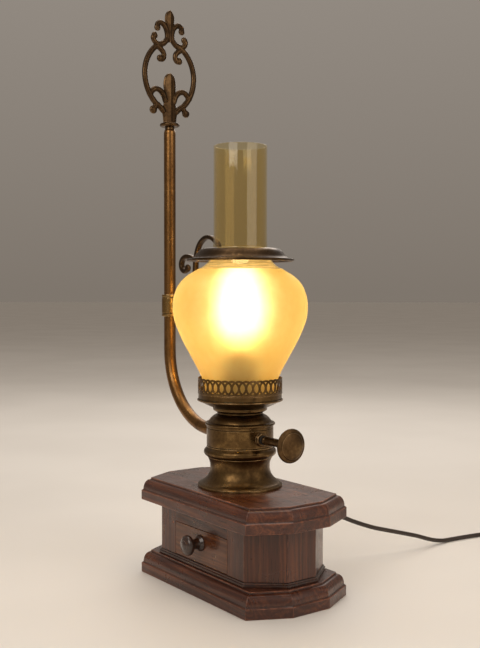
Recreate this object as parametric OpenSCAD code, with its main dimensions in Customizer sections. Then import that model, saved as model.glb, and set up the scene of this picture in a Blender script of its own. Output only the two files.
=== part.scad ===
// Electric table lamp in the style of an oil lamp: a turned brass body with a glass shade and chimney
// stands on an eight-sided wooden case with a drawer, and a bent tube beside it carries a sliding
// collar for the chimney and a cast finial. +Z is up, the drawer faces -Y, and the bent tube is at -X.
// The origin is the middle of the case's underside. All sizes are in millimetres.

/* [Wooden case] */
// Length of the moulded boards, over their bands
base_len = 239; // [236:1:245]
// Width of the moulded boards, over their bands
base_wid = 131; // [129:1:136]
// Thickness of each moulded board
board_h = 24.5; // [24:0.5:26]
// Height of the plain vertical band at the foot of each board's moulding
band_h = 10.3; // [9:0.1:11]
// Length of the case between the boards
case_len = 208; // [205:1:210]
// Width of the case between the boards
case_wid = 103; // [101:1:104]
// Height of the case between the boards
case_h = 57.5; // [57:0.5:60]
// Thickness of the case's panels
panel_t = 8; // [7:0.5:8]

/* [Drawer] */
// Width of the drawer front
drawer_w = 96; // [84:1:100]
// Height of the drawer front
drawer_h = 35; // [32:1:35]
// Depth of the drawer, front included
drawer_d = 87; // [70:1:87]
// Diameter of the drawer knob's head
drawer_knob_d = 21; // [16:1:24]

/* [Brass body] */
// Outer radius of the flared foot
foot_r = 45.6; // [44:0.2:47]
// Outer radius of the drum that holds the switch
drum_r = 36; // [35.5:0.5:37]
// Height of the tube's and the switch's axis above the table
arm_z = 160.5; // [159:0.5:162]
// Outer radius of the pierced gallery
gallery_r = 45.4; // [45:0.2:46]
// Number of interlaced circles round the gallery
gallery_circles = 38; // [30:1:40]
// Diameter of the switch knob
switch_knob_d = 35; // [28:1:38]

/* [Tube and finial] */
// Distance from the lamp's axis to the upright tube's axis
post_x = 142; // [138:1:146]
// Outer radius of the bent tube
post_r = 7; // [7:0.5:7]
// Radius of the tube's bend, at its axis
bend_r = 85; // [80:1:90]
// Height of the tube's top
post_top = 510; // [500:1:515]

/* [Glass] */
// Largest radius of the shade
shade_r = 72.3; // [70:0.1:74]
// Outer radius of the chimney
chimney_r = 28.7; // [28:0.1:29]
// Height of the chimney's top
chimney_top = 470.4; // [450:0.1:480]

/* [Collar] */
// Outer radius of the collar round the chimney
collar_r = 57.8; // [55:0.1:60]
// Height of the collar's rim
collar_z = 347.5; // [347:0.5:352]

/* [Cord] */
// Diameter of the mains cord
cord_d = 5; // [5:0.5:5]

/* [Hidden] */
$fn = 96;
gap = 0.1;

// Colours
walnut = "#4a2415";
dark_wood = "#2b160e";
inner_wood = "#a9835a";
brass_old = "#6b5330";
brass_bright = "#9c7a43";
bronze = "#2e2619";
steel = "#9a9a98";
black = "#1c1a18";

// Wooden case
case_z = board_h;
top_z = case_z + case_h;
base_h = top_z + board_h;
half_len = base_len / 2;
half_wid = base_wid / 2;
band_front_x = 98;
band_end_y = 23.5;
cant = atan2(half_wid - band_end_y, half_len - band_front_x);
moulding_out = 9.1;
moulding_step = 1.8;
moulding_lip = 2.2;
case_a = case_len / 2;
case_b = case_wid / 2;
case_x = 77;
case_y = 18;
bead_h = 5.3;
screw_x = 80;
screw_y = 25;

// Drawer
drawer_z = case_z + bead_h + 0.3;
drawer_front_t = 8;
drawer_side_t = 6;
drawer_floor_t = 3;
opening_x = drawer_w / 2 + 0.5;
opening_top = drawer_z + drawer_h + 0.5;
drawer_back_y = -case_b + drawer_d;
drawer_knob_z = drawer_z + 21.5;
drawer_knob_out = 22;

// Brass body
foot_top = base_h + 32.3;
drum_z0 = base_h + 42.5;
drum_z1 = base_h + 66;
dome_top = base_h + 77.5;
cup_z = dome_top;
band_z0 = base_h + 99.8;
band_z1 = base_h + 117.1;
sheet = 1.3;
rod_r = 5;
rod_bore = 3.4;
rod_z0 = base_h - 33;
rod_z1 = base_h + 97;
switch_bush_r = 4.9;
shaft_r = 3;
knob_x = 84;

// Lampholder and bulb
holder_r = 14;
holder_z0 = base_h + 90;
holder_z1 = base_h + 145;
bulb_z = base_h + 130;

// Tube, sleeve and finial
bend_z = arm_z + bend_r;
post_bore = post_r - 1;
sleeve_r = 9.7;
sleeve_z0 = 285.5;
sleeve_h = 26;
finial_t = 6;
finial_z = post_top + 4.5;

// Collar
collar_hole = 31.2;

// Cord
cord_r = cord_d / 2;
cord_exit_z = 58;
// The route from the strain relief to the coil
cord_route = [
    [0, 80, 58], [1, 95, 58.5], [3, 110, 58.5], [6, 125, 57], [9, 140, 53.5], [11, 155, 47],
    [13, 170, 41], [16, 187, 35], [18, 203, 30.5], [20, 220, 25.8], [21, 237, 21], [21.5, 254, 16],
    [22, 270, 10.5], [22, 285, 6], [22, 300, 3.3], [22, 315, 2.5], [24, 332, 2.5], [26.5, 350, 2.5],
    [29.5, 367, 2.5], [33, 383, 2.5], [36, 398, 2.5], [37.5, 412, 2.5]];
// The route from the coil to the plug
tail_route = [[102.5, 412, 12.5], [102.5, 406, 12.2], [102.5, 399, 10.5], [102.5, 392, 8.6],
    [102.5, 385, 7.4], [102.5, 378, 7]];
coil_at = [70, 412];
coil_in = 20;
coil_out = 35;
coil_h = 15;
plug_h = 14;
plug_at = [102.5, 378, 7];

// ---- Outlines and curves ----

function unit(v) = v / norm(v);
function arc(c, r, a0, a1, n = 8) =
    [for (i = [0:n]) let (a = a0 + (a1 - a0) * i / n) c + r * [cos(a), sin(a)]];
function reversed(p) = [for (i = [len(p) - 1:-1:0]) p[i]];
function along(p, i) = unit(p[min(i + 1, len(p) - 1)] - p[max(i - 1, 0)]);
function beside(p, d) = [for (i = [0:len(p) - 1]) let (t = along(p, i)) p[i] + d * [-t.y, t.x]];
// A line along p, from d0 to d1 on its left
function ribbon(p, d0, d1) = concat(beside(p, d0), reversed(beside(p, d1)));
// A smooth curve through p, with n steps between neighbours
function curve(p, n = 5) = concat([for (i = [0:len(p) - 2]) each [for (k = [0:n - 1])
    let (a = p[max(i - 1, 0)], b = p[i], c = p[i + 1], d = p[min(i + 2, len(p) - 1)], t = k / n)
    0.5 * (2 * b + (c - a) * t + (2 * a - 5 * b + 4 * c - d) * t * t + (3 * b - a - 3 * c + d) * t * t * t)]],
    [p[len(p) - 1]]);
// The corners of an eight-sided outline: half length a, half width b, and where its flat sides end
function eight_sides(a, b, x, y) = [[x, -b], [a, -y], [a, y], [x, b], [-x, b], [-a, y], [-a, -y], [-x, -b]];
// The boards' outline, in from the band by d
function board_outline(d) = eight_sides(half_len - d, half_wid - d, band_front_x - d * tan(cant / 2),
    band_end_y - d * tan((90 - cant) / 2));
case_cant = atan2(case_b - case_y, case_a - case_x);
// The case's outline, in from its face by d
function case_outline(d) = eight_sides(case_a - d, case_b - d, case_x - d * tan(case_cant / 2),
    case_y - d * tan((90 - case_cant) / 2));

module turned(p) {
    rotate_extrude() polygon(p);
}

// A spun sheet whose outer face follows p, from bottom to top
module spun(p, t = sheet) {
    turned(ribbon(p, 0, t));
}

// A tube of n sides and radius r that is swept along p
module swept(p, r, n) {
    count = len(p);
    dir = [for (i = [0:count - 1]) along(p, i)];
    side = [for (t = dir) unit(cross([0, 0, 1], t))];
    rings = [for (i = [0:count - 1]) each [for (k = [0:n - 1]) let (a = 360 * k / n)
        p[i] + r * (cos(a) * side[i] + sin(a) * cross(dir[i], side[i]))]];
    walls = [for (i = [0:count - 2]) each [for (k = [0:n - 1]) let (m = (k + 1) % n)
        [i * n + k, (i + 1) * n + k, (i + 1) * n + m, i * n + m]]];
    first = [for (k = [0:n - 1]) k];
    last = [for (k = [n - 1:-1:0]) (count - 1) * n + k];
    polyhedron(rings, concat([first, last], walls));
}

// ---- Wooden case ----

// A board whose edge has a band, a rounded moulding and a lip, all round its eight sides
module moulded_board() {
    rise = board_h - moulding_lip - band_h - 1.2;
    run = moulding_out - moulding_step - 1.2;
    profile = concat([[0, 0], [0, band_h]],
        [for (a = [0:15:90]) [moulding_step + run * (1 - cos(a)), band_h + 1.2 + rise * sin(a)]],
        [[moulding_out, board_h - moulding_lip], [moulding_out, board_h]]);
    rings = len(profile);
    points = [for (q = profile) each [for (c = board_outline(q[0])) [c.x, c.y, q[1]]]];
    walls = [for (i = [0:rings - 2]) each [for (k = [0:7]) let (m = (k + 1) % 8)
        [i * 8 + k, (i + 1) * 8 + k, (i + 1) * 8 + m, i * 8 + m]]];
    polyhedron(points, concat([[for (k = [0:7]) k], [for (k = [7:-1:0]) (rings - 1) * 8 + k]], walls));
}

module at_corners() {
    for (sx = [-1, 1], sy = [-1, 1])
        scale([sx, sy, 1]) children();
}

module base_board() {
    color(walnut) difference() {
        moulded_board();
        at_corners() translate([screw_x, screw_y, -1]) {
            cylinder(r = 2.1, h = board_h + 2);
            cylinder(r = 4.6, h = 5);
        }
    }
}

module top_board() {
    color(walnut) difference() {
        translate([0, 0, top_z]) moulded_board();
        translate([0, 0, top_z - 1]) cylinder(r = rod_r + 0.4, h = board_h + 2);
    }
}

module foot_bead() {
    color(dark_wood) translate([0, 0, case_z]) {
        linear_extrude(bead_h - 1.8) bead_outline(2.4);
        translate([0, 0, bead_h - 1.8]) linear_extrude(1.8) bead_outline(1.2);
    }
}

module bead_outline(out) {
    difference() {
        polygon(case_outline(-out));
        polygon(case_outline(0));
    }
}

// One panel of the case, mitred at both ends, between corners i and i + 1
module panel(i) {
    outer = case_outline(0);
    inner = case_outline(panel_t);
    m = (i + 1) % 8;
    translate([0, 0, case_z]) linear_extrude(case_h) polygon([outer[i], outer[m], inner[m], inner[i]]);
}

module case_back() {
    color(walnut) difference() {
        panel(3);
        translate([0, case_b + 1, cord_exit_z]) rotate([90, 0, 0]) cylinder(r = 6, h = panel_t + 2);
    }
}

module case_end_left() {
    color(walnut) panel(5);
}

module case_end_right() {
    color(walnut) panel(1);
}

module case_corners() {
    color(walnut) for (i = [0, 2, 4, 6])
        panel(i);
}

module front_stile() {
    outer = case_outline(0)[0];
    inner = case_outline(panel_t)[0];
    translate([0, 0, case_z]) linear_extrude(case_h)
        polygon([[opening_x, outer.y], outer, inner, [opening_x, inner.y]]);
}

module front_stile_right() {
    color(walnut) front_stile();
}

module front_stile_left() {
    color(walnut) mirror([1, 0, 0]) front_stile();
}

module front_rail(z0, z1) {
    translate([-opening_x, -case_b, z0]) cube([2 * opening_x, panel_t, z1 - z0]);
}

module front_rail_top() {
    color(walnut) front_rail(opening_top, top_z);
}

module front_rail_bottom() {
    color(walnut) front_rail(case_z, case_z + bead_h);
}

module glue_blocks() {
    inner = case_outline(panel_t);
    a = inner[3];
    b = inner[2];
    color(inner_wood) difference() {
        at_corners() translate([0, 0, case_z]) linear_extrude(case_h)
            polygon([a, b, [a.x, b.y]]);
        at_corners() translate([screw_x, screw_y, case_z - 1]) cylinder(r = 1.7, h = 24);
    }
}

module base_screws() {
    color(steel) at_corners() translate([screw_x, screw_y, 2]) {
        cylinder(r = 4.2, h = 1.9);
        cylinder(r = 1.65, h = case_z + 18);
    }
}

// ---- Drawer ----

module drawer_runner() {
    x0 = drawer_w / 2 - 0.8 - drawer_side_t - 2;
    x1 = drawer_w / 2 - 0.5;
    y0 = -case_b + panel_t;
    translate([0, -y0, case_z]) rotate([90, 0, 0]) linear_extrude(-2 * y0)
        polygon([[x0, 0], [x1 + 6, 0], [x1 + 6, 16], [x1, 16], [x1, bead_h + 0.2], [x0, bead_h + 0.2]]);
}

module drawer_runner_right() {
    color(inner_wood) drawer_runner();
}

module drawer_runner_left() {
    color(inner_wood) mirror([1, 0, 0]) drawer_runner();
}

module drawer_front() {
    color(walnut) difference() {
        translate([-drawer_w / 2, -case_b, drawer_z]) cube([drawer_w, drawer_front_t, drawer_h]);
        translate([0, -case_b - 1, drawer_knob_z]) rotate([-90, 0, 0])
            cylinder(r = 2.2, h = drawer_front_t + 2);
    }
}

module drawer_side() {
    x1 = drawer_w / 2 - 0.8;
    translate([x1 - drawer_side_t, -case_b + drawer_front_t, drawer_z])
        cube([drawer_side_t, drawer_d - drawer_front_t, drawer_h - 4]);
}

module drawer_side_right() {
    color(inner_wood) drawer_side();
}

module drawer_side_left() {
    color(inner_wood) mirror([1, 0, 0]) drawer_side();
}

module drawer_back() {
    w = drawer_w - 1.6 - 2 * drawer_side_t;
    color(inner_wood) translate([-w / 2, drawer_back_y - drawer_side_t, drawer_z])
        cube([w, drawer_side_t, drawer_h - 4]);
}

module drawer_floor() {
    w = drawer_w - 1.6 - 2 * drawer_side_t;
    color(inner_wood) translate([-w / 2, -case_b + drawer_front_t, drawer_z + 1])
        cube([w, drawer_d - drawer_front_t - drawer_side_t, drawer_floor_t]);
}

// Puts what is drawn along +Z on the drawer front, pointing out of it
module on_drawer_front() {
    translate([0, -case_b, drawer_knob_z]) rotate([90, 0, 0]) children();
}

module drawer_knob() {
    r = drawer_knob_d / 2;
    out = drawer_knob_out;
    color(black) on_drawer_front() difference() {
        turned(concat([[0, 0], [r - 2, 0], [r - 2, 2], [r - 4.5, 4], [5, 7], [5, 11]],
            arc([r - 4, out - 6], 4, -60, 60, 8), arc([0, out - 18.1], 18, 66, 90, 4)));
        translate([0, 0, -1]) cylinder(r = 1.9, h = 13);
    }
}

module drawer_knob_screw() {
    color(steel) on_drawer_front() translate([0, 0, -drawer_front_t]) {
        translate([0, 0, -2]) cylinder(r = 4, h = 2);
        cylinder(r = 1.9, h = drawer_front_t + 10);
    }
}

// ---- Turned and spun brass body ----

module foot_skirt() {
    color(brass_old) spun(concat([[foot_r, base_h], [foot_r, base_h + 2.2]],
        arc([foot_r + 5.6, base_h + 21.5], 19.1, 247, 148, 12),
        [[drum_r - 1, foot_top - 0.8], [drum_r - 1, foot_top]]));
}

module bead_ring() {
    inner = drum_r - 4;
    color(brass_bright) turned(concat([[inner, foot_top], [drum_r - 0.4, foot_top]],
        arc([drum_r - 1.4, foot_top + 5], 4.4, -80, 80, 10), [[drum_r - 0.6, drum_z0], [inner, drum_z0]]));
}

module drum() {
    color(brass_old) difference() {
        translate([0, 0, drum_z0]) difference() {
            cylinder(r = drum_r, h = drum_z1 - drum_z0);
            translate([0, 0, -1]) cylinder(r = drum_r - sheet, h = drum_z1 - drum_z0 + 2);
        }
        translate([-drum_r - 5, 0, arm_z]) rotate([0, 90, 0]) cylinder(r = post_r + gap, h = 20);
        translate([drum_r - 15, 0, arm_z]) rotate([0, 90, 0]) cylinder(r = switch_bush_r + gap, h = 20);
    }
}

module drum_dome() {
    color(brass_old) spun(concat([[drum_r - 0.2, drum_z1]],
        arc([drum_r + 0.2, drum_z1 + 1.4], 1.5, -60, 60, 6), arc([20.5, drum_z1 - 3], 15, 24, 73, 10),
        [[23.6, dome_top]]));
}

// The cup that the glass stands in, with a flat seat inside for its rim
module gallery_cup() {
    z = cup_z;
    seat_r = 37;
    outer = concat([[22.6, z]], arc([23.4, z + 1.4], 1.3, -80, 80, 6), [[26.8, z + 3.2], [29, z + 4.6],
        [29.3, z + 7.6], [37, z + 10.9], [45.4, z + 14.6], [46.2, z + 15.3], [46, z + 16.2], [44.8, z + 16.6],
        [44.8, band_z0 - gap]]);
    inner = [[43.4, band_z0 - gap], [43.4, z + 15.8], [41.5, z + 14], [seat_r, z + 14], [seat_r, z + 12.6],
        [28, z + 8.8], [27.7, z + 6], [22.6, z + 3.6], [rod_r + gap, z + 3.6], [rod_r + gap, z]];
    color(brass_old) turned(concat(outer, inner));
}

// The pierced band round the glass
module gallery_band() {
    mid = (band_z0 + band_z1) / 2;
    color(brass_old) difference() {
        translate([0, 0, band_z0]) difference() {
            cylinder(r = gallery_r, h = band_z1 - band_z0);
            translate([0, 0, -1]) cylinder(r = gallery_r - 1.1, h = band_z1 - band_z0 + 2);
        }
        for (i = [0:gallery_circles - 1])
            rotate([0, 0, i * 360 / gallery_circles]) translate([gallery_r - 5, 0, mid]) rotate([0, 90, 0])
                cylinder(r = 2.7, h = 10, $fn = 24);
    }
}

module threaded_rod() {
    color(steel) translate([0, 0, rod_z0]) difference() {
        cylinder(r = rod_r, h = rod_z1 - rod_z0);
        translate([0, 0, -1]) cylinder(r = rod_bore, h = rod_z1 - rod_z0 + 2);
    }
}

module rod_washer() {
    color(steel) translate([0, 0, top_z - 1.6]) difference() {
        cylinder(r = 12, h = 1.6);
        translate([0, 0, -1]) cylinder(r = rod_r + gap, h = 4);
    }
}

// One nut under the board and one in the gallery cup
module rod_nuts() {
    color(steel) for (z = [top_z - 6.6, cup_z + 3.6])
        translate([0, 0, z]) difference() {
            cylinder(r = 8.6, h = 5, $fn = 6);
            translate([0, 0, -1]) cylinder(r = rod_r + gap, h = 8);
        }
}

// ---- Switch ----

// Puts what is drawn along +Z on the switch's axis, with z as the distance from the lamp's axis
module on_switch_axis() {
    translate([0, 0, arm_z]) rotate([0, 90, 0]) children();
}

module switch_body() {
    color(black) on_switch_axis() difference() {
        union() {
            translate([0, 0, 12]) cylinder(r = 10.5, h = 19);
            translate([0, 0, 31]) cylinder(r = switch_bush_r, h = 12);
        }
        translate([0, 0, 14]) cylinder(r = shaft_r + 0.06, h = 32);
    }
}

module switch_nut() {
    color(brass_bright) on_switch_axis() turned([[switch_bush_r + gap, drum_r + 0.2], [7.4, drum_r + 0.2],
        [7.4, drum_r + 2.6], [6, drum_r + 4.6], [switch_bush_r + gap, drum_r + 4.6]]);
}

module switch_shaft() {
    color(steel) on_switch_axis() translate([0, 0, 14.3]) cylinder(r = shaft_r, h = knob_x - 16);
}

module switch_knob() {
    r = switch_knob_d / 2;
    color(bronze) on_switch_axis() difference() {
        turned(concat([[0, 44], [4.6, 44], [4.2, 58], [4.2, 73], [6, 74], [6, 77], [4.8, 78],
            [6.5, knob_x - 2], [r - 2, knob_x]], arc([r - 1.8, knob_x + 2.2], 1.8, -70, 70, 6),
            [[r - 4, knob_x + 5.4]], arc([0, knob_x - 30.5], 38, 72, 90, 4)));
        translate([0, 0, 40]) cylinder(r = shaft_r, h = knob_x - 41.7);
    }
}

// ---- Bent tube and finial ----

module bent_rod(r, over = 0) {
    translate([-post_x, 0, bend_z]) cylinder(r = r, h = post_top - bend_z + over);
    translate([-post_x + bend_r, 0, bend_z]) rotate([-90, 0, 180]) rotate_extrude(angle = 90)
        translate([bend_r, 0]) circle(r = r);
    translate([-post_x + bend_r, 0, arm_z]) rotate([0, 90, 0])
        cylinder(r = r, h = post_x - bend_r - 27 + over);
}

module bent_tube() {
    color(brass_bright) difference() {
        bent_rod(post_r);
        bent_rod(post_bore, 1);
    }
}

module tube_locknut() {
    color(steel) translate([-32, 0, arm_z]) rotate([0, 90, 0]) difference() {
        cylinder(r = 10.4, h = 4, $fn = 6);
        translate([0, 0, -1]) cylinder(r = post_r + gap, h = 6);
    }
}

module finial_collar() {
    color(bronze) translate([-post_x, 0, post_top]) difference() {
        turned(concat([[0, 0], [10, 0]], arc([9.6, 2.25], 2.2, -80, 80, 8), [[10, 4.5], [0, 4.5]]));
        translate([0, 0, -1]) cylinder(r = post_bore, h = 7);
    }
}

// Half of the finial's outline; y is the height above its foot
module finial_half() {
    w = 2.8;
    oval = curve([[9, 14], [14, 18.5], [21, 23.5], [26.5, 30.5], [31, 39.5], [33.6, 50], [33.8, 60],
        [31.5, 70], [27, 79], [20.5, 86.5], [13, 91.5]], 3);
    inner_curl = curve([[17, 88.5], [12.5, 86], [8.5, 82], [8, 77], [10.5, 74], [13.5, 74.5]], 3);
    low_curl = curve([[23.5, 27], [19.5, 22], [20, 17], [22.6, 13.8]], 3);
    side_curl = curve([[6, 26], [8.5, 32.5], [13.5, 37.5], [19.5, 38.5], [24, 35.5], [27.5, 32]], 3);
    crown_curl = curve([[13, 91.5], [8, 93.5], [3.5, 98.5], [3.5, 106], [6.5, 113], [12, 116.5], [16.5, 114],
        [17, 109.5]], 3);
    wing_curl = curve([[3.5, 98.5], [8.5, 92.6], [14.5, 91], [20, 93], [22.6, 97.5], [20.5, 100.5]], 3);
    for (p = [oval, inner_curl, low_curl, side_curl, crown_curl, wing_curl])
        polygon(ribbon(p, -w, w));
    translate([13.5, 74.5]) circle(r = 3.3, $fn = 24);
    translate([22.6, 13.8]) circle(r = 4.1, $fn = 24);
    translate([17, 109.5]) circle(r = 3, $fn = 24);
    translate([20.5, 100.5]) circle(r = 3, $fn = 24);
    translate([27.5, 32]) circle(r = 3.4, $fn = 24);
    // Half of the stem with its bud, and half of the crown with its bud
    polygon(concat([[-0.1, 0]], curve([[8, 0], [8.6, 6], [9.5, 14], [7, 24], [6.2, 34], [7.6, 44], [6.4, 53],
        [3, 57.6], [-0.1, 58.5]], 3)));
    polygon(concat([[-0.1, 96.6]], curve([[2.5, 96.5], [5.5, 104], [5, 114], [6, 121], [5.4, 127], [3, 131],
        [-0.1, 132.3]], 3)));
}

module finial() {
    color(bronze) {
        translate([-post_x, 0, finial_z]) rotate([90, 0, 90]) linear_extrude(finial_t, center = true)
            offset(delta = 0.02) {
                finial_half();
                mirror([1, 0]) finial_half();
            }
        translate([-post_x, 0, post_top - 18]) cylinder(r = post_bore - 0.3, h = 24);
    }
}

// ---- Sliding collar ----

module sleeve() {
    color(brass_bright) translate([-post_x, 0, sleeve_z0]) difference() {
        turned([[post_r + 0.06, 0], [sleeve_r - 0.6, 0], [sleeve_r, 0.6], [sleeve_r, sleeve_h - 0.6],
            [sleeve_r - 0.6, sleeve_h], [post_r + 0.06, sleeve_h]]);
        translate([0, 0, sleeve_h / 2]) rotate([0, -90, 0]) cylinder(r = 1.6, h = 20);
    }
}

module sleeve_screw() {
    color(steel) translate([-post_x - post_r - 0.4, 0, sleeve_z0 + sleeve_h / 2]) rotate([0, -90, 0])
        cylinder(r = 1.5, h = 2.2);
}

// The arm from the sleeve to the collar, with its scroll; heights are above the collar's rim
module scroll_bracket() {
    w = 2.3;
    arm = curve([[-133.5, -49.5], [-120, -48.5], [-105, -41.5], [-93, -28.5], [-87.5, -13.5], [-86, 0.5],
        [-83, 12.5], [-77.5, 21.5], [-69, 27.1], [-60, 28.7], [-51, 26.5], [-43, 21], [-38.5, 14.4]]);
    scroll = curve([[-85.5, 3], [-95, 7], [-105, 8.1], [-112.5, 5.5], [-116, 0], [-114, -6], [-108, -9],
        [-102.5, -6.5]]);
    color(bronze) translate([0, 0, collar_z]) rotate([90, 0, 0]) linear_extrude(5, center = true) {
        polygon(ribbon(arm, -w, w));
        polygon(ribbon(scroll, -w, w));
        translate([-102.5, -5.9]) circle(r = 4, $fn = 24);
    }
}

module chimney_collar() {
    z = collar_z;
    top = [[collar_hole, z + 14.4], [38, z + 13.9], [42.5, z + 12.4], [46.5, z + 8.6], [50.6, z + 4],
        [53, z + 2.4], [collar_r, z + 1.4]];
    color(bronze) difference() {
        turned(concat(top, [[collar_r, z]], reversed(beside(top, -1.3))));
        translate([-38.5, 0, z]) cylinder(r = 1.6, h = 20);
    }
}

module collar_rivet() {
    color(brass_bright) translate([-38.5, 0, collar_z + 11]) cylinder(r = 1.55, h = 3);
}

// ---- Glass, lampholder and bulb ----

module glass_shade() {
    r = shade_r;
    c = chimney_r;
    outer = curve([[39, cup_z + 14], [39.3, 210], [41, 222.5], [50.6, 241.9], [62.1, 263.5], [r - 1.9, 284],
        [r, 299], [r - 1.5, 311], [r - 6.3, 322.5], [58, 331.3], [47.5, 338], [39, 342.6], [33.4, 348.5],
        [30, 356.5], [c + 0.2, 367], [c, 385], [c, chimney_top]], 4);
    color("#e8b855", 0.4) turned(ribbon(outer, 0, 1.6));
}

module holder_cap() {
    z = holder_z0;
    color(black) difference() {
        turned(concat([[0, z], [8, z]], arc([8, z + 6], 6, -90, 0, 6), [[holder_r, z + 13], [0, z + 13]]));
        translate([0, 0, z - 1]) cylinder(r = rod_r + gap, h = rod_z1 - z + 1.2);
        translate([0, 0, z]) cylinder(r = rod_bore, h = 20);
    }
}

module holder_shell() {
    color(black) translate([0, 0, holder_z0 + 13]) difference() {
        cylinder(r = holder_r, h = holder_z1 - holder_z0 - 13);
        translate([0, 0, -1]) cylinder(r = holder_r - 2, h = 60);
    }
}

module holder_insert() {
    color("#e9e4d8") translate([0, 0, holder_z0 + 13]) difference() {
        cylinder(r = holder_r - 2.1, h = 34);
        translate([0, 0, bulb_z - holder_z0 - 13]) cylinder(r = 7, h = 40);
        translate([0, 0, -1]) cylinder(r = 2.6, h = 20);
    }
}

module bulb_cap() {
    color(steel) translate([0, 0, bulb_z])
        turned([[0, 0], [2.6, 0], [3.4, 2.2], [6.6, 4], [6.6, 24], [7.2, 26], [0, 26]]);
}

module bulb_glass() {
    z = bulb_z + 26;
    outer = curve([[7, z], [8.6, z + 6], [14.5, z + 16], [17.5, z + 29], [16.6, z + 43], [12.6, z + 57],
        [7, z + 67], [3, z + 73], [0.8, z + 76]], 4);
    color("#fff3d0", 0.5) turned(ribbon(outer, 0, 0.7));
}

module bulb_filament() {
    z = bulb_z + 26;
    color("#ffd98a") {
        translate([0, 0, z]) cylinder(r = 3.2, h = 16);
        translate([0, 0, z + 16]) cylinder(r = 1.4, h = 30);
    }
}

// ---- Wiring and cord ----

// From the back panel over the drawer and up into the threaded rod
module inner_cable() {
    run_z = top_z - 14.5;
    bend = 8;
    r = cord_r - 0.3;
    y0 = case_b - panel_t - 4.5;
    color(black) {
        translate([0, case_b - panel_t, cord_exit_z]) rotate([90, 0, 0])
            cylinder(r = r, h = case_b - panel_t - y0);
        translate([0, y0, cord_exit_z]) sphere(r = r);
        translate([0, y0, cord_exit_z]) cylinder(r = r, h = run_z - cord_exit_z);
        translate([0, y0, run_z]) sphere(r = r);
        translate([0, y0, run_z]) rotate([90, 0, 0]) cylinder(r = r, h = y0 - bend);
        translate([0, bend, run_z + bend]) rotate([90, 0, 90]) rotate([0, 0, 180])
            rotate_extrude(angle = 90) translate([bend, 0]) circle(r = r);
        translate([0, 0, run_z + bend]) cylinder(r = r, h = holder_z0 + 18 - run_z - bend);
    }
}

module cord_bush() {
    color(black) translate([0, case_b, cord_exit_z]) rotate([90, 0, 0]) {
        translate([0, 0, -1.8]) cylinder(r = 8.5, h = 1.8);
        cylinder(r = 5.9, h = panel_t - 0.1);
    }
}

module strain_relief() {
    y0 = case_b + 1.8;
    color(black) translate([0, y0, cord_exit_z]) rotate([-90, 0, 0])
        cylinder(r1 = 5.4, r2 = 3.2, h = cord_route[0].y - y0);
}

module supply_cord() {
    color(black) {
        swept(cord_route, cord_r, 8);
        swept(tail_route, cord_r, 8);
    }
}

module cord_coil() {
    c = 2;
    color(black) translate([coil_at.x, coil_at.y, 0]) turned([[coil_in + c, 0], [coil_out - c, 0],
        [coil_out, c], [coil_out, coil_h - c], [coil_out - c, coil_h], [coil_in + c, coil_h],
        [coil_in, coil_h - c], [coil_in, c]]);
}

// A tie round the coil's bundle, on the side away from the plug
module cord_tie() {
    mid = (coil_in + coil_out) / 2;
    w = coil_out - coil_in;
    color(black) translate([coil_at.x, coil_at.y, 0]) rotate([0, 0, 110]) translate([mid, 0, 0])
        rotate([90, 0, 0]) linear_extrude(6, center = true) difference() {
            translate([-w / 2 - 1.4, 0]) square([w + 2.8, coil_h + 1.4]);
            translate([-w / 2 - gap, -1]) square([w + 2 * gap, coil_h + 1 + gap]);
        }
}

module plug_relief() {
    color(black) translate(plug_at) rotate([90, 0, 0]) cylinder(r1 = 3.2, r2 = 5.4, h = 20);
}

module plug_body() {
    y = plug_at.y - 20;
    color(black) translate([plug_at.x, y, 0]) linear_extrude(plug_h)
        polygon([[-7, 0], [7, 0], [9, -6], [17, -16], [17, -33], [-17, -33], [-17, -16], [-9, -6]]);
}

module plug_pins() {
    y = plug_at.y - 53;
    color(steel) for (sx = [-1, 1])
        translate([plug_at.x + sx * 9.2, y, plug_h / 2]) rotate([90, 0, 0]) cylinder(r = 2, h = 19);
}

base_board();
foot_bead();
case_back();
case_end_left();
case_end_right();
case_corners();
front_stile_left();
front_stile_right();
front_rail_top();
front_rail_bottom();
glue_blocks();
top_board();
base_screws();
drawer_runner_left();
drawer_runner_right();
drawer_front();
drawer_side_left();
drawer_side_right();
drawer_back();
drawer_floor();
drawer_knob();
drawer_knob_screw();
foot_skirt();
bead_ring();
drum();
drum_dome();
gallery_cup();
gallery_band();
threaded_rod();
rod_washer();
rod_nuts();
switch_body();
switch_nut();
switch_shaft();
switch_knob();
bent_tube();
tube_locknut();
finial_collar();
finial();
sleeve();
sleeve_screw();
scroll_bracket();
chimney_collar();
collar_rivet();
glass_shade();
holder_cap();
holder_shell();
holder_insert();
bulb_cap();
bulb_glass();
bulb_filament();
inner_cable();
cord_bush();
strain_relief();
supply_cord();
cord_coil();
cord_tie();
plug_relief();
plug_body();
plug_pins();
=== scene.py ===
"""A table lamp in the style of an oil lamp, on an eight-sided wooden case with a drawer."""

import math
from itertools import product

import bmesh
import bpy
from mathutils import Matrix, Quaternion, Vector


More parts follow.
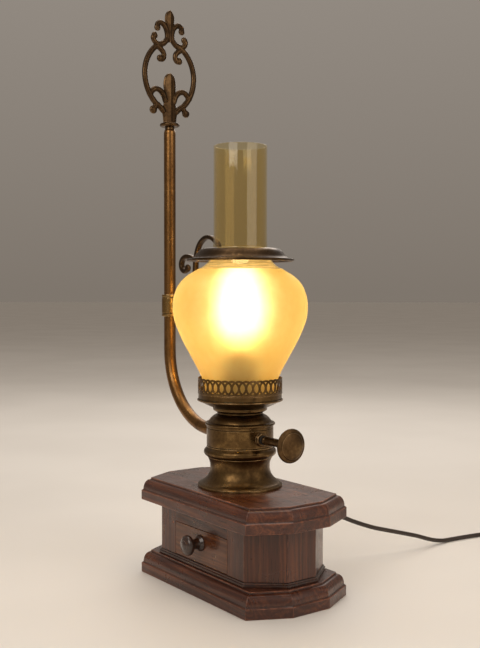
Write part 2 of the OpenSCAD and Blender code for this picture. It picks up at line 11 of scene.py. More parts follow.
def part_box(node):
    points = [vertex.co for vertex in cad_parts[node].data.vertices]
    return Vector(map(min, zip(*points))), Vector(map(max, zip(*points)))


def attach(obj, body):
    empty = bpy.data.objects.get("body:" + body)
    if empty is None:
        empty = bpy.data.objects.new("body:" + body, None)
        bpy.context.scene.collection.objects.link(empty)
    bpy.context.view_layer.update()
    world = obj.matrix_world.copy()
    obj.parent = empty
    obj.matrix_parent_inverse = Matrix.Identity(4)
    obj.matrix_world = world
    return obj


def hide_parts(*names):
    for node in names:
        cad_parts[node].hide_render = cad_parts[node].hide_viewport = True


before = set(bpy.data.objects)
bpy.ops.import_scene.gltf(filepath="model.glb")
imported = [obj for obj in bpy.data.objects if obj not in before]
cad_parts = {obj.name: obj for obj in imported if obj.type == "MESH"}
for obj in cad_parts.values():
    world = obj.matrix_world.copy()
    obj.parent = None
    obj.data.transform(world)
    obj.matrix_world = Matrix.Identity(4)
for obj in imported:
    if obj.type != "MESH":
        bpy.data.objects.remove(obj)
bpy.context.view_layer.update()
scene = bpy.context.scene
MM = 0.001
TURN = math.tau
QUARTER = math.pi / 2
SQUARENESS = 0.45  # the power that squares a strap's round section
LEAST_TURN = 0.38  # radians; a corner that turns less isn't rounded
END_WEAR = 0.55  # the wear where a rounded corner starts and ends
EXIT_Z, KNOB_Z, SWITCH_Z = 58, 51.6, 160.5  # the axes of the cord's exit, the drawer's knob and the switch


def low(node, axis):
    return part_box(node)[0]["xyz".index(axis)] / MM


def high(node, axis):
    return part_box(node)[1]["xyz".index(axis)] / MM


def span(node, axis):
    return low(node, axis), high(node, axis)


def linked(name, data):
    ob = bpy.data.objects.new(name, data)
    scene.collection.objects.link(ob)
    return ob


# ---------------------------------------------------------------- camera and lamps


def make_camera():
    data = bpy.data.cameras.new("camera")
    data.lens = 51.8
    data.clip_start = 0.05
    camera = linked("camera", data)
    camera.location = (0.806, -0.592, 0.3165)
    look = Vector((-0.80558, 0.59139, -0.03599)).to_track_quat("-Z", "Y")
    roll = Quaternion((0, 0, 1), math.radians(0.09))
    camera.rotation_mode = "QUATERNION"
    camera.rotation_quaternion = look @ roll
    scene.camera = camera


def soft_light(name, place, size, power, colour):
    """A square lamp that faces the object's middle."""
    data = bpy.data.lights.new(name, "AREA")
    data.size, data.energy, data.color = size, power, colour
    light = linked(name, data)
    light.location = place
    ahead = Vector((0, 0, 0.22)) - Vector(place)
    light.rotation_euler = ahead.to_track_quat("-Z", "Y").to_euler()


# ---------------------------------------------------------------- shapes, in millimetres


def build(name, points, faces, wear=None):
    data = bpy.data.meshes.new(name)
    data.from_pydata([(x * MM, y * MM, z * MM) for x, y, z in points], [], faces)
    if wear:
        data.attributes.new("wear", "FLOAT", "POINT").data.foreach_set("value", wear)
    return even(linked(name, data))


def even(ob):
    """Smooth shading in which the large faces stay flat and only their rounded edges turn."""
    data = ob.data
    data.polygons.foreach_set("use_smooth", [True] * len(data.polygons))
    sums = [Vector() for _ in data.vertices]
    for face in data.polygons:
        push = face.normal * face.area
        for v in face.vertices:
            sums[v] += push
    up = Vector((0, 0, 1))
    data.normals_split_custom_set_from_vertices([s.normalized() if s.length else up for s in sums])
    return ob


def bake(ob):
    """Applies the object's modifiers."""
    depsgraph = bpy.context.evaluated_depsgraph_get()
    data = bpy.data.meshes.new_from_object(ob.evaluated_get(depsgraph))
    ob.modifiers.clear()
    ob.data = data


def arc(centre, radius, start, end, steps=8):
    angles = [math.radians(start + (end - start) * i / steps) for i in range(steps + 1)]
    return [(centre[0] + radius * math.cos(a), centre[1] + radius * math.sin(a)) for a in angles]


def raised(points, height):
    return [(r, z + height) for r, z in points]


def curve(points, steps=6):
    """A smooth curve through the points."""
    points = [Vector(p) for p in points]
    out = []
    for i in range(len(points) - 1):
        a, b, c, d = points[max(i - 1, 0)], points[i], points[i + 1], points[min(i + 2, len(points) - 1)]
        for k in range(steps):
            t = k / steps
            square = (a * 2 - b * 5 + c * 4 - d) * t * t
            cube = (b * 3 - a - c * 3 + d) * t ** 3
            out.append((b * 2 + (c - a) * t + square + cube) / 2)
    return [tuple(p) for p in out + [points[-1]]]


def beside(points, gap):
    """The same line, moved to its left."""
    out = []
    for i, p in enumerate(points):
        step = Vector(points[min(i + 1, len(points) - 1)]) - Vector(points[max(i - 1, 0)])
        step.normalize()
        out.append((p[0] - step.y * gap, p[1] + step.x * gap))
    return out


def sheet(points, thickness):
    return list(points) + beside(points, thickness)[::-1]


def softened(points, radius, closed=False, spread=1.4):
    """Rounds the corners of an outline that keeps its material on the left. Each point also says how
    far it sticks out (+1, where polish and wear reach) or lies in a corner (-1, where dirt stays and
    where wood and plastic are darkened with painted shade)."""
    out = []
    count = len(points)
    for i, p in enumerate(points):
        if not closed and i in (0, count - 1):
            out.append((p[0], p[1], 0.0))
            continue
        here = Vector(p[:2])
        back = Vector(points[i - 1][:2]) - here
        ahead = Vector(points[(i + 1) % count][:2]) - here
        turn = math.pi - back.angle(ahead)
        if turn < LEAST_TURN:
            out.append((p[0], p[1], 0.0))
            continue
        sign = 1.0 if (-back).cross(ahead) > 0 else -1.0
        trim = min(radius * math.tan(turn / 2), 0.4 * min(back.length, ahead.length))
        first, last = (here + way.normalized() * trim for way in (back, ahead))
        reach = trim + spread
        near = [(here + way.normalized() * reach, way.length > 2.5 * reach) for way in (back, ahead)]
        out += [(p.x, p.y, 0.0) for p, fits in near[:1] if fits]
        for t in (0.0, 0.25, 0.5, 0.75, 1.0):
            q = first * (1 - t) ** 2 + here * (2 * t * (1 - t)) + last * t * t
            out.append((q.x, q.y, sign * (END_WEAR if t in (0.0, 1.0) else 1.0)))
        out += [(p.x, p.y, 0.0) for p, fits in near[1:] if fits]
    return out


def lathe(name, profile, sides=96, closed=False, place=None):
    """Turns (radius, height, wear) about Z, then puts it in its place."""
    if closed:
        doubled = sum(a[0] * b[1] - b[0] * a[1] for a, b in zip(profile, profile[1:] + profile[:1]))
        if doubled < 0:
            profile = profile[::-1]
    points, wear, rings, faces = [], [], [], []
    for r, z, w in profile:
        count = 1 if r < 0.01 else sides
        rings.append([len(points) + i for i in range(count)])
        for i in range(count):
            a = TURN * i / sides
            points.append(Vector((r * math.cos(a), r * math.sin(a), z)))
            wear.append(w)
    for a, b in zip(rings, rings[1:] + (rings[:1] if closed else [])):
        if len(a) == 1 and len(b) == 1:
            continue
        for i in range(sides):
            j = (i + 1) % sides
            if len(a) == 1:
                faces.append((a[0], b[j], b[i]))
            elif len(b) == 1:
                faces.append((a[i], a[j], b[0]))
            else:
                faces.append((a[i], a[j], b[j], b[i]))
    if place:
        points = [place @ p for p in points]
    return build(name, points, faces, wear)


def skin(rings, sides, closed=False):
    """Faces over rings of points that follow each other, closed in a loop or capped at both ends."""
    faces = []
    for i in range(rings if closed else rings - 1):
        a, b = i * sides, (i + 1) % rings * sides
        for k in range(sides):
            m = (k + 1) % sides
            faces.append((a + k, a + m, b + m, b + k))
    if not closed:
        faces.append(tuple(range(sides - 1, -1, -1)))
        faces.append(tuple(range((rings - 1) * sides, rings * sides)))
    return faces


def directions(path):
    last = len(path) - 1
    return [(path[min(i + 1, last)] - path[max(i - 1, 0)]).normalized() for i in range(last + 1)]


def sampled(value, count):
    """The value at each of count points. It may be a function of the way from 0 to 1."""
    return [value(i / (count - 1)) if callable(value) else value for i in range(count)]


def swept(path, radius, sides=20, flat=1.0, up=None):
    """Points and faces of a round bar along a path, with rounded ends. radius may change along it, and
    flat squashes the bar towards the direction up."""
    path = [Vector(p) for p in path]
    radii = sampled(radius, len(path))
    ways = directions(path)
    side = ways[0].orthogonal().normalized()

    def dome(end, out):
        way, r = ways[end], radii[end]
        return [(path[end] + way * out * r * math.sin(a), way, r * math.cos(a)) for a in (0.45, 0.9, 1.3)]

    spine = dome(0, -1)[::-1] + list(zip(path, ways, radii)) + dome(-1, 1)
    points = []
    for centre, way, r in spine:
        if up:
            other = Vector(up)
            side = way.cross(other).normalized()
        else:
            side = (side - way * side.dot(way)).normalized()
            other = way.cross(side)
        for k in range(sides):
            a = TURN * k / sides
            points.append(centre + side * r * math.cos(a) + other * r * flat * math.sin(a))
    return points, skin(len(spine), sides)


def strap(path, thick, deep, sides=20):
    """A flat bar with rounded corners, bent along a path in the XZ plane: thick in that plane and deep
    along Y. thick may change along it."""
    path = [Vector(p) for p in path]
    halves = [t / 2 for t in sampled(thick, len(path))]
    ways = directions(path)

    def end(at, out):
        steps = ((0.7, 0.85), (1.1, 0.55))
        return [(path[at] + ways[at] * out * step, ways[at], halves[at], size) for step, size in steps]

    spine = end(0, -1)[::-1] + [(*row, 1.0) for row in zip(path, ways, halves)] + end(-1, 1)
    across = Vector((0, 1, 0))
    points = []
    for centre, way, half, size in spine:
        side = way.cross(across)
        for k in range(sides):
            c, s = math.cos(TURN * k / sides), math.sin(TURN * k / sides)
            c, s = (math.copysign(abs(v) ** SQUARENESS, v) for v in (c, s))
            points.append(centre + side * half * size * c + across * deep / 2 * size * s)
    return points, skin(len(spine), sides)


def gathered(parts):
    points, faces = [], []
    for more, sides in parts:
        start = len(points)
        points += more
        faces += [tuple(v + start for v in f) for f in sides]
    return points, faces


def ball(centre, radius, flat=1.0, sides=20):
    """A ball, squashed along X by flat."""
    rows = 10
    centre = Vector(centre)
    points = []
    for i in range(1, rows):
        a = math.pi * i / rows
        for k in range(sides):
            b = TURN * k / sides
            out = Vector((flat * math.sin(a) * math.cos(b), math.sin(a) * math.sin(b), -math.cos(a)))
            points.append(centre + out * radius)
    return points, skin(rows - 1, sides)


def tidy_normals(ob):
    bm = bmesh.new()
    bm.from_mesh(ob.data)
    bmesh.ops.recalc_face_normals(bm, faces=bm.faces)
    bm.to_mesh(ob.data)
    bm.free()
    return even(ob)


def fused(ob, voxel):
    """Melts the pieces of a casting into one skin, and finds its proud and its hollow places."""
    gain, rounds = 9.0, 4
    tidy_normals(ob)
    remesh = ob.modifiers.new("remesh", "REMESH")
    remesh.mode = "VOXEL"
    remesh.voxel_size = voxel * MM
    smooth = ob.modifiers.new("smooth", "SMOOTH")
    smooth.factor = 0.5
    smooth.iterations = 2
    bake(ob)
    bm = bmesh.new()
    bm.from_mesh(ob.data)
    near = [[e.other_vert(v) for e in v.link_edges] for v in bm.verts]
    found = [
        -sum((other.co - v.co).normalized().dot(v.normal) for other in others) / max(len(others), 1)
        for v, others in zip(bm.verts, near)
    ]
    for _ in range(rounds):
        found = [
            (found[v.index] + sum(found[other.index] for other in others)) / (1 + len(others))
            for v, others in zip(bm.verts, near)
        ]
    bm.free()
    wear = ob.data.attributes.new("wear", "FLOAT", "POINT")
    wear.data.foreach_set("value", [max(-1.0, min(1.0, f * gain)) for f in found])
    ob.data.polygons.foreach_set("use_smooth", [True] * len(ob.data.polygons))
    return ob


def bevelled(node, width):
    """A copy of a CAD node with rounded arrises, which carry the wear."""
    bm = bmesh.new()
    bm.from_mesh(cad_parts[node].data)
    layer = bm.faces.layers.float.new("wear")
    bmesh.ops.remove_doubles(bm, verts=bm.verts, dist=1e-6)
    bmesh.ops.dissolve_limit(bm, angle_limit=math.radians(1), verts=bm.verts, edges=bm.edges)
    sharp = [e for e in bm.edges if len(e.link_faces) == 2 and e.calc_face_angle(0) > math.radians(25)]
    bmesh.ops.bevel(
        bm, geom=sharp, offset=width * MM, segments=3, profile=0.5, affect="EDGES", clamp_overlap=True,
    )
    for f in bm.faces:
        narrow = f.calc_area() <= 0.8 * MM * f.calc_perimeter()
        f[layer] = 0.75 if narrow else 0.0
    bmesh.ops.triangulate(bm, faces=[f for f in bm.faces if len(f.verts) > 4])
    data = bpy.data.meshes.new(node + "_made")
    bm.to_mesh(data)
    bm.free()
    return even(linked(node + "_made", data))


def eight(a, b, x, y):
    return [(x, -b), (a, -y), (a, y), (x, b), (-x, b), (-a, y), (-a, -y), (-x, -b)]


def inset(corners, d):
    """An outline moved in by d, with mitred corners."""
    out = []
    for i, p in enumerate(corners):
        here, back, ahead = Vector(p), Vector(corners[i - 1]), Vector(corners[(i + 1) % len(corners)])
        u, w = (here - back).normalized(), (ahead - here).normalized()
        normal = (Vector((-u.y, u.x)) + Vector((-w.y, w.x))).normalized()
        out.append(here + normal * (d / max(normal.dot(Vector((-u.y, u.x))), 0.2)))
    return out


def moulded(name, corners, profile, closed=False, corner=1.0):
    """Runs a moulding, (inwards, height, wear), round an outline with slightly rounded corners."""
    points, wear, faces, rings = [], [], [], []
    for d, z, w in profile:
        ring = softened([tuple(p) for p in inset(corners, d)], corner, closed=True, spread=2.0)
        rings.append([len(points) + i for i in range(len(ring))])
        for x, y, edge in ring:
            points.append((x, y, z))
            wear.append(max(w, edge * 0.7) if w >= 0 else w)
    size = min(len(r) for r in rings)
    for a, b in zip(rings, rings[1:] + (rings[:1] if closed else [])):
        for i in range(size):
            j = (i + 1) % size
            faces.append((a[i], a[j], b[j], b[i]))
    if not closed:
        faces += [tuple(reversed(rings[0])), tuple(rings[-1])]
    return tidy_normals(build(name, points, faces, wear))


def cut(ob, cutter):
    modifier = ob.modifiers.new("cut", "BOOLEAN")
    modifier.object = cutter
    modifier.operation = "DIFFERENCE"
    modifier.solver = "EXACT"
    bake(ob)
    bpy.data.objects.remove(cutter)
    return ob


def block(name, lowest, highest, turn=None):
    """A cutter's box."""
    points = list(product(*zip(lowest, highest)))
    if turn:
        points = [turn @ Vector(p) for p in points]
    faces = [(0, 1, 3, 2), (4, 6, 7, 5), (0, 4, 5, 1), (2, 3, 7, 6), (0, 2, 6, 4), (1, 5, 7, 3)]
    return build(name, points, faces)


def aimed(place, angle, axis):
    return Matrix.Translation(place) @ Matrix.Rotation(angle, 4, axis)


# ---------------------------------------------------------------- materials


class Look:
    """A material whose nodes are added with short calls. Coordinates are the frame's own, in metres."""

    def __init__(self, name):
        self.material = bpy.data.materials.new(name)
        self.material.use_nodes = True
        self.tree = self.material.node_tree
        self.tree.nodes.clear()
        self.place = self.add("ShaderNodeTexCoord").outputs["Object"]
        self.worn = self.add("ShaderNodeAttribute", attribute_name="wear").outputs["Fac"]

    def add(self, kind, inputs=None, **settings):
        node = self.tree.nodes.new(kind)
        for key, value in settings.items():
            setattr(node, key, value)
        for key, value in (inputs or {}).items():
            self.put(node.inputs[key], value)
        return node

    def out(self, kind, inputs, **settings):
        return self.add("ShaderNode" + kind, inputs, **settings).outputs[0]

    def put(self, socket, value):
        if isinstance(value, bpy.types.NodeSocket):
            self.tree.links.new(value, socket)
        elif socket.type == "RGBA" and len(value) == 3:
            socket.default_value = (*value, 1)
        else:
            socket.default_value = value

    def noise(self, scale, detail=2.0, rough=0.5, bent=0.0, shift=(0, 0, 0)):
        if not isinstance(scale, tuple):
            scale = (scale, scale, scale)
        place = self.out("Mapping", {"Vector": self.place, "Scale": scale, "Location": shift})
        inputs = {"Vector": place, "Scale": 1.0, "Detail": detail, "Roughness": rough, "Distortion": bent}
        return self.add("ShaderNodeTexNoise", inputs).outputs["Fac"]

    def math(self, operation, a, b=0.0, clamp=False):
        return self.out("Math", {0: a, 1: b}, operation=operation, use_clamp=clamp)

    def times(self, a, b):
        return self.math("MULTIPLY", a, b)

    def plus(self, a, b, clamp=False):
        return self.math("ADD", a, b, clamp)

    def between(self, value, start, end, low=0.0, high=1.0):
        """value taken from start..end to low..high, and held there."""
        inputs = {"Value": value, "From Min": start, "From Max": end, "To Min": low, "To Max": high}
        return self.out("MapRange", inputs, interpolation_type="SMOOTHSTEP")

    def band(self, start, full, wane, end):
        """1 from the height full to the height wane, and 0 below start and above end."""
        height = self.add("ShaderNodeSeparateXYZ", {0: self.place}).outputs["Z"]
        return self.times(self.between(height, start, full), self.between(height, end, wane))

    def ramp(self, value, *stops):
        node = self.add("ShaderNodeValToRGB", {"Fac": value})
        elements = node.color_ramp.elements
        elements.remove(elements[1])
        for i, (at, colour) in enumerate(stops):
            element = elements[0] if i == 0 else elements.new(at)
            element.position = at
            element.color = (*colour, 1)
        return node.outputs["Color"]

    def mix(self, factor, a, b):
        # Sockets 0, 6 and 7 are the factor and the two colours
        return self.add("ShaderNodeMix", {0: factor, 6: a, 7: b}, data_type="RGBA").outputs[2]

    def bump(self, height, distance, after=None):
        inputs = {"Height": height, "Distance": distance * MM, "Strength": 1.0}
        if after:
            inputs["Normal"] = after
        return self.out("Bump", inputs)

    def end(self, shader):
        self.tree.links.new(shader, self.add("ShaderNodeOutputMaterial").inputs[0])
        return self.material

    def principled(self, **inputs):
        names = {key.replace("_", " "): value for key, value in inputs.items()}
        return self.out("BsdfPrincipled", names)


def shade(colour, gain, lift=0.0):
    return tuple(min(1.0, c * gain + lift) for c in colour)


def wood(name, along, dark, mid, light, shift=0.0, gloss=0.32, coat=0.35):
    """Varnished hardwood: broad figure, fine streaks and open pores along one axis."""
    look = Look(name)

    def grain(across, length):
        return tuple(length if axis == along else across for axis in "xyz")

    moved = (shift, shift * 0.7, shift * 1.3)
    figure = look.noise(grain(30, 2.2), 2, 0.45, 0.25, moved)
    rings = look.math("FRACT", look.times(figure, 13.0))
    bands = look.between(look.math("ABSOLUTE", look.math("SUBTRACT", rings, 0.5)), 0.04, 0.5)
    streaks = look.noise(grain(420, 9), 3, 0.6, 0.3, moved)
    pores = look.noise(grain(1500, 55), 1, 0.5, 0.0, moved)
    open_pores = look.between(pores, 0.60, 0.70)
    tone = look.plus(look.times(bands, 0.24), look.times(streaks, 0.85))
    body = look.ramp(tone, (0.18, dark), (0.52, mid), (0.86, light))
    cloud = look.noise(grain(16, 5), 2, 0.5, 0.2, moved)
    body = look.mix(look.between(cloud, 0.35, 0.75, 0.0, 0.45), body, dark)
    body = look.mix(look.times(open_pores, 0.75), body, shade(dark, 0.3))
    patchy = look.between(look.noise(120, 3), 0.38, 0.72, 0.1, 0.8)
    rubbed = look.times(look.between(look.worn, 0.35, 1.0), patchy)
    body = look.mix(rubbed, body, shade(light, 1.9, 0.03))
    # Darker in hollow corners: real dirt, and painted shade
    dirt_and_shade = look.between(look.worn, -1.0, -0.2, 0.7, 0.0)
    body = look.mix(dirt_and_shade, body, shade(dark, 0.3))
    smudge = look.noise(36, 4, 0.6)
    rough = look.between(smudge, 0.3, 0.75, gloss - 0.08, gloss + 0.16)
    height = look.math("SUBTRACT", look.times(streaks, 0.35), look.times(open_pores, 0.8))
    normal = look.bump(height, 0.10, look.bump(look.noise(95, 2), 0.22))
    return look.end(look.principled(
        Base_Color=body, Roughness=rough, Normal=normal,
        Coat_Weight=coat, Coat_Roughness=0.12, Specular_IOR_Level=0.38,
    ))


def metal(name, dark, mid, bright, rough=0.34, turned=None, spots=0.45, verdigris=0.0):
    """Old brass: brown patina in clouds and corners, polish on the edges, fine lathe or drawing lines."""
    look = Look(name)
    clouds = look.noise(34, 5, 0.62, 0.8)
    specks = look.noise(310, 3, 0.6)
    tone = look.plus(look.times(clouds, 0.72), look.times(specks, 0.30))
    body = look.ramp(tone, (0.34, dark), (0.54, mid), (0.74, bright))
    blots = look.between(look.noise(620, 2, 0.5), 0.64, 0.74, 0.0, spots)
    body = look.mix(blots, body, shade(dark, 0.28))
    patchy = look.between(look.noise(160, 3), 0.32, 0.62, 0.25, 1.0)
    edge = look.times(look.between(look.worn, 0.25, 0.95), patchy)
    body = look.mix(edge, body, shade(bright, 1.35, 0.04))
    hollow = look.between(look.worn, -0.9, -0.15, 1.0, 0.0)
    body = look.mix(look.times(hollow, 0.8), body, shade(dark, 0.22))
    if verdigris:
        green = look.times(hollow, look.between(look.noise(260, 3), 0.5, 0.66, 0.0, verdigris))
        body = look.mix(green, body, (0.10, 0.16, 0.12))
    grit = look.between(tone, 0.35, 0.72, rough + 0.17, rough - 0.08)
    shine = look.math("MAXIMUM", look.math("SUBTRACT", grit, look.times(edge, 0.12)), 0.12)
    shine = look.plus(shine, look.times(hollow, 0.28), clamp=True)
    normal = look.bump(look.noise(70, 3, 0.5), 0.16)
    if turned:
        lines = look.noise(tuple(1900 if axis == turned else 3 for axis in "xyz"), 1, 0.5)
        normal = look.bump(lines, 0.025, normal)
    normal = look.bump(specks, 0.05, normal)
    return look.end(look.principled(Base_Color=body, Metallic=1.0, Roughness=shine, Normal=normal))


def plastic(name, colour, rough=0.42, grain=0.05, scale=900, soiled=None):
    """Moulded plastic, rubber or porcelain with a little texture, dust and handling marks."""
    look = Look(name)
    fine = look.noise(scale, 2, 0.55)
    soil = look.noise(60, 4, 0.6)
    body = look.mix(look.between(soil, 0.35, 0.75, 0.0, 0.45), colour, soiled or shade(colour, 1.7, 0.012))
    rubbed = look.between(look.worn, 0.3, 1.0, 0.0, 0.35)
    body = look.mix(rubbed, body, shade(colour, 1.6, 0.02))
    # Darker in hollow corners: real dirt, and painted shade
    dirt_and_shade = look.between(look.worn, -1.0, -0.2, 0.6, 0.0)
    body = look.mix(dirt_and_shade, body, shade(colour, 0.4))
    shine = look.between(soil, 0.3, 0.8, rough - 0.06, rough + 0.16)
    normal = look.bump(fine, grain, look.bump(look.noise(130, 2), 0.08))
    return look.end(look.principled(Base_Color=body, Roughness=shine, Normal=normal, Specular_IOR_Level=0.5))


def seen_by_shadow(look, shader, tint):
    """Lets light through to what stands behind, tinted, where the shader alone would block it."""
    clear = look.out("BsdfTransparent", {"Color": tint})
    ray = look.add("ShaderNodeLightPath").outputs["Is Shadow Ray"]
    return look.out("MixShader", {0: ray, 1: shader, 2: clear})


def frosted_glass(name):
    """Satin amber glass, lit from inside: it scatters the bulb's light, and a painted glow, brightest round
    the bulb's height, is added to it.
    """
    look = Look(name)
    streak = look.noise((26, 26, 5), 4, 0.6, 0.7)
    mottle = look.noise(90, 4, 0.62)
    amber = look.ramp(
        look.plus(look.times(streak, 0.55), look.times(mottle, 0.45)),
        (0.32, (0.82, 0.58, 0.18)), (0.55, (0.88, 0.69, 0.28)), (0.78, (0.94, 0.79, 0.42)),
    )
    satin = look.bump(look.noise(2300, 2, 0.6), 0.03, look.bump(look.noise(75, 2), 0.30))
    scatter = look.out("BsdfTranslucent", {"Color": amber, "Normal": satin})
    gloss = look.principled(
        Base_Color=amber, Roughness=look.between(mottle, 0.3, 0.75, 0.56, 0.68), IOR=1.45,
        Transmission_Weight=0.85, Normal=satin, Specular_IOR_Level=0.5,
    )
    # Painted glow: emission, brightest round the bulb's height and fading above and below, that stands in for
    # the bulb's light in the glass
    painted_glow = look.ramp(
        look.band(0.222, 0.285, 0.322, 0.352),
        (0.0, (0.34, 0.19, 0.04)), (0.55, (0.58, 0.41, 0.08)), (1.0, (0.68, 0.50, 0.11)),
    )
    painted_glow = look.mix(look.between(streak, 0.3, 0.75, 0.0, 0.28), painted_glow, (0.55, 0.30, 0.08))
    light = look.out("Emission", {"Color": painted_glow, "Strength": 0.22})
    body = look.out("MixShader", {0: 0.16, 1: gloss, 2: scatter})
    body = look.out("AddShader", {0: body, 1: light})
    return look.end(seen_by_shadow(look, body, (0.93, 0.74, 0.42, 1)))


def clear_glass(name, tint, gloss=0.04):
    """Thin clear tinted glass: what is behind shows through it, and its surface mirrors the lights. Its
    shoulder has a painted glow where it carries the bulb's light."""
    look = Look(name)
    seeds = look.noise(260, 2, 0.5)
    wavy = look.bump(look.noise((30, 30, 9), 2), 0.5)
    film = look.between(look.noise(48, 4, 0.6), 0.42, 0.8, gloss, gloss + 0.12)
    seeded = look.mix(look.between(seeds, 0.70, 0.78, 0.0, 0.35), tint, shade(tint, 0.7))
    through = look.out("BsdfTransparent", {"Color": seeded})
    surface = {"Color": (1, 1, 1, 1), "Roughness": film, "Normal": wavy}
    mirror = look.out("BsdfAnisotropic", surface)
    facing = look.add("ShaderNodeLayerWeight", {"Blend": 0.5, "Normal": wavy}).outputs["Facing"]
    edge = look.plus(look.times(look.math("POWER", facing, 4.0), 0.75), 0.04)
    glass = look.out("MixShader", {0: edge, 1: through, 2: mirror})
    # Painted glow on the neck's shoulder, rippled, standing in for the bulb's light that shines through there
    shoulder = look.band(0.3365, 0.3400, 0.3420, 0.3600)
    ripple = look.between(look.noise((20, 20, 300), 2, 0.5, 1.5), 0.35, 0.65, 0.35, 1.0)
    lit = look.mix(look.times(shoulder, ripple), (0, 0, 0), (1.0, 0.66, 0.24))
    painted_glow = look.out("Emission", {"Color": lit, "Strength": 0.30})
    return look.end(look.out("AddShader", {0: glass, 1: painted_glow}))


def lit_bulb(name):
    """An opal bulb that burns warm, strongest at its middle."""
    look = Look(name)
    patch = look.noise(120, 2)
    tone = look.plus(look.times(look.band(0.264, 0.290, 0.318, 0.342), 0.8), look.times(patch, 0.2))
    colour = look.ramp(tone, (0.1, (0.70, 0.40, 0.17)), (0.6, (0.96, 0.78, 0.52)), (1.0, (1.0, 0.93, 0.82)))
    light = look.out("Emission", {"Color": colour, "Strength": 8.5})
    shine = look.between(patch, 0.3, 0.7, 0.15, 0.28)
    opal = look.principled(Base_Color=(0.95, 0.92, 0.85, 1), Roughness=shine)
    return look.end(look.out("AddShader", {0: light, 1: opal}))


def floor_paper(name):
    look = Look(name)
    fibre = look.noise(700, 3, 0.6)
    body = look.mix(look.between(look.noise(3.0, 2), 0.3, 0.7), (0.76, 0.72, 0.67), (0.80, 0.76, 0.71))
    shine = look.between(fibre, 0.3, 0.7, 0.6, 0.72)
    return look.end(look.principled(Base_Color=body, Roughness=shine, Normal=look.bump(fibre, 0.03)))


RED = (0.024, 0.006, 0.003), (0.078, 0.020, 0.008), (0.17, 0.052, 0.018)
PINE = (0.30, 0.17, 0.08), (0.46, 0.29, 0.15), (0.58, 0.40, 0.23)
LOOKS = {
    "board": wood("walnut_boards", "x", *RED, 0.0),
    "board_low": wood("walnut_base", "x", *RED, 3.1),
    "panel": wood(
        "walnut_panels", "z", (0.026, 0.007, 0.003), (0.080, 0.021, 0.008), (0.18, 0.056, 0.019), 7.7,
    ),
    "rail": wood(
        "walnut_rails", "x", (0.022, 0.006, 0.003), (0.068, 0.018, 0.007), (0.15, 0.046, 0.016), 5.3,
    ),
    "bead": wood(
        "dark_wood_bead", "x", (0.016, 0.006, 0.004), (0.040, 0.013, 0.007), (0.085, 0.030, 0.014), 9.4,
    ),
    "front": wood(
        "walnut_drawer", "x", (0.050, 0.015, 0.006), (0.120, 0.040, 0.014), (0.23, 0.088, 0.032), 12.9,
    ),
    "inner": wood("pine_inside_x", "x", *PINE, 15.2, 0.6, 0.0),
    "inner_y": wood("pine_inside_y", "y", *PINE, 18.6, 0.6, 0.0),
    "inner_z": wood("pine_inside_z", "z", *PINE, 21.8, 0.6, 0.0),
    "knob": wood(
        "knob_wood", "y", (0.012, 0.005, 0.003), (0.03, 0.011, 0.006), (0.07, 0.026, 0.012), 24.1, 0.26, 0.7,
    ),
    "brass": metal(
        "aged_brass", (0.05, 0.028, 0.012), (0.135, 0.078, 0.030), (0.28, 0.17, 0.064), 0.27, "z", 0.45, 0.4,
    ),
    "tube": metal(
        "tube_brass", (0.085, 0.040, 0.014), (0.21, 0.105, 0.035), (0.36, 0.19, 0.066), 0.27, None, 0.30,
    ),
    "bright": metal(
        "bright_brass", (0.11, 0.062, 0.022), (0.25, 0.150, 0.052), (0.42, 0.27, 0.10), 0.26, None, 0.25,
    ),
    "bronze": metal(
        "dark_bronze", (0.03, 0.018, 0.01), (0.07, 0.04, 0.019), (0.16, 0.095, 0.042), 0.3, None, 0.4, 0.3,
    ),
    "switch": metal(
        "switch_brass", (0.042, 0.024, 0.012), (0.105, 0.06, 0.026), (0.22, 0.135, 0.056),
        0.33, "x", 0.4, 0.2,
    ),
    "steel": metal("zinc_steel", (0.22, 0.22, 0.21), (0.42, 0.41, 0.40), (0.58, 0.57, 0.55), 0.34, None, 0.3),
    "black": plastic("black_plastic", (0.014, 0.013, 0.012), 0.36),
    "ceramic": plastic("holder_ceramic", (0.68, 0.63, 0.54), 0.24, 0.03, 500, (0.60, 0.53, 0.42)),
    "cord": plastic("cord_cover", (0.030, 0.018, 0.012), 0.40, 0.04, 1100),
    "frost": frosted_glass("amber_frosted"),
    "clear": clear_glass("amber_clear", (0.955, 0.885, 0.69)),
    "bulb": lit_bulb("bulb_opal"),
    "filament": metal(
        "filament_metal", (0.30, 0.26, 0.22), (0.5, 0.46, 0.40), (0.7, 0.66, 0.60), 0.3, None, 0.2,
    ),
    "floor": floor_paper("pale_floor"),
}


def dress(ob, look, body, slot, *replaced):
    ob.data.materials.clear()
    ob.data.materials.append(LOOKS[look])
    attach(ob, body)
    if replaced:
        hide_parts(*replaced)
    return ob


def spun(
    node, name, outline, radius, spread, sides=128, place=None, look="brass", body="lamp", slot="aged_brass",
):
    """Stands in for a node with a piece turned from an outline, whose corners get rounded. An outline
    that starts away from the axis is that of a hollow piece."""
    hollow = outline[0][0] > 0
    profile = softened(outline, radius, hollow, spread)
    return dress(lathe(name, profile, sides, hollow, place), look, body, slot, node)


def repaint(look, *nodes):
    """A new material for CAD nodes that keep their shape."""
    for node in nodes:
        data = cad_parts[node].data
        if not data.materials:
            data.materials.append(LOOKS[look])
        for i in range(len(data.materials)):
            data.materials[i] = LOOKS[look]


# ---------------------------------------------------------------- the free cord

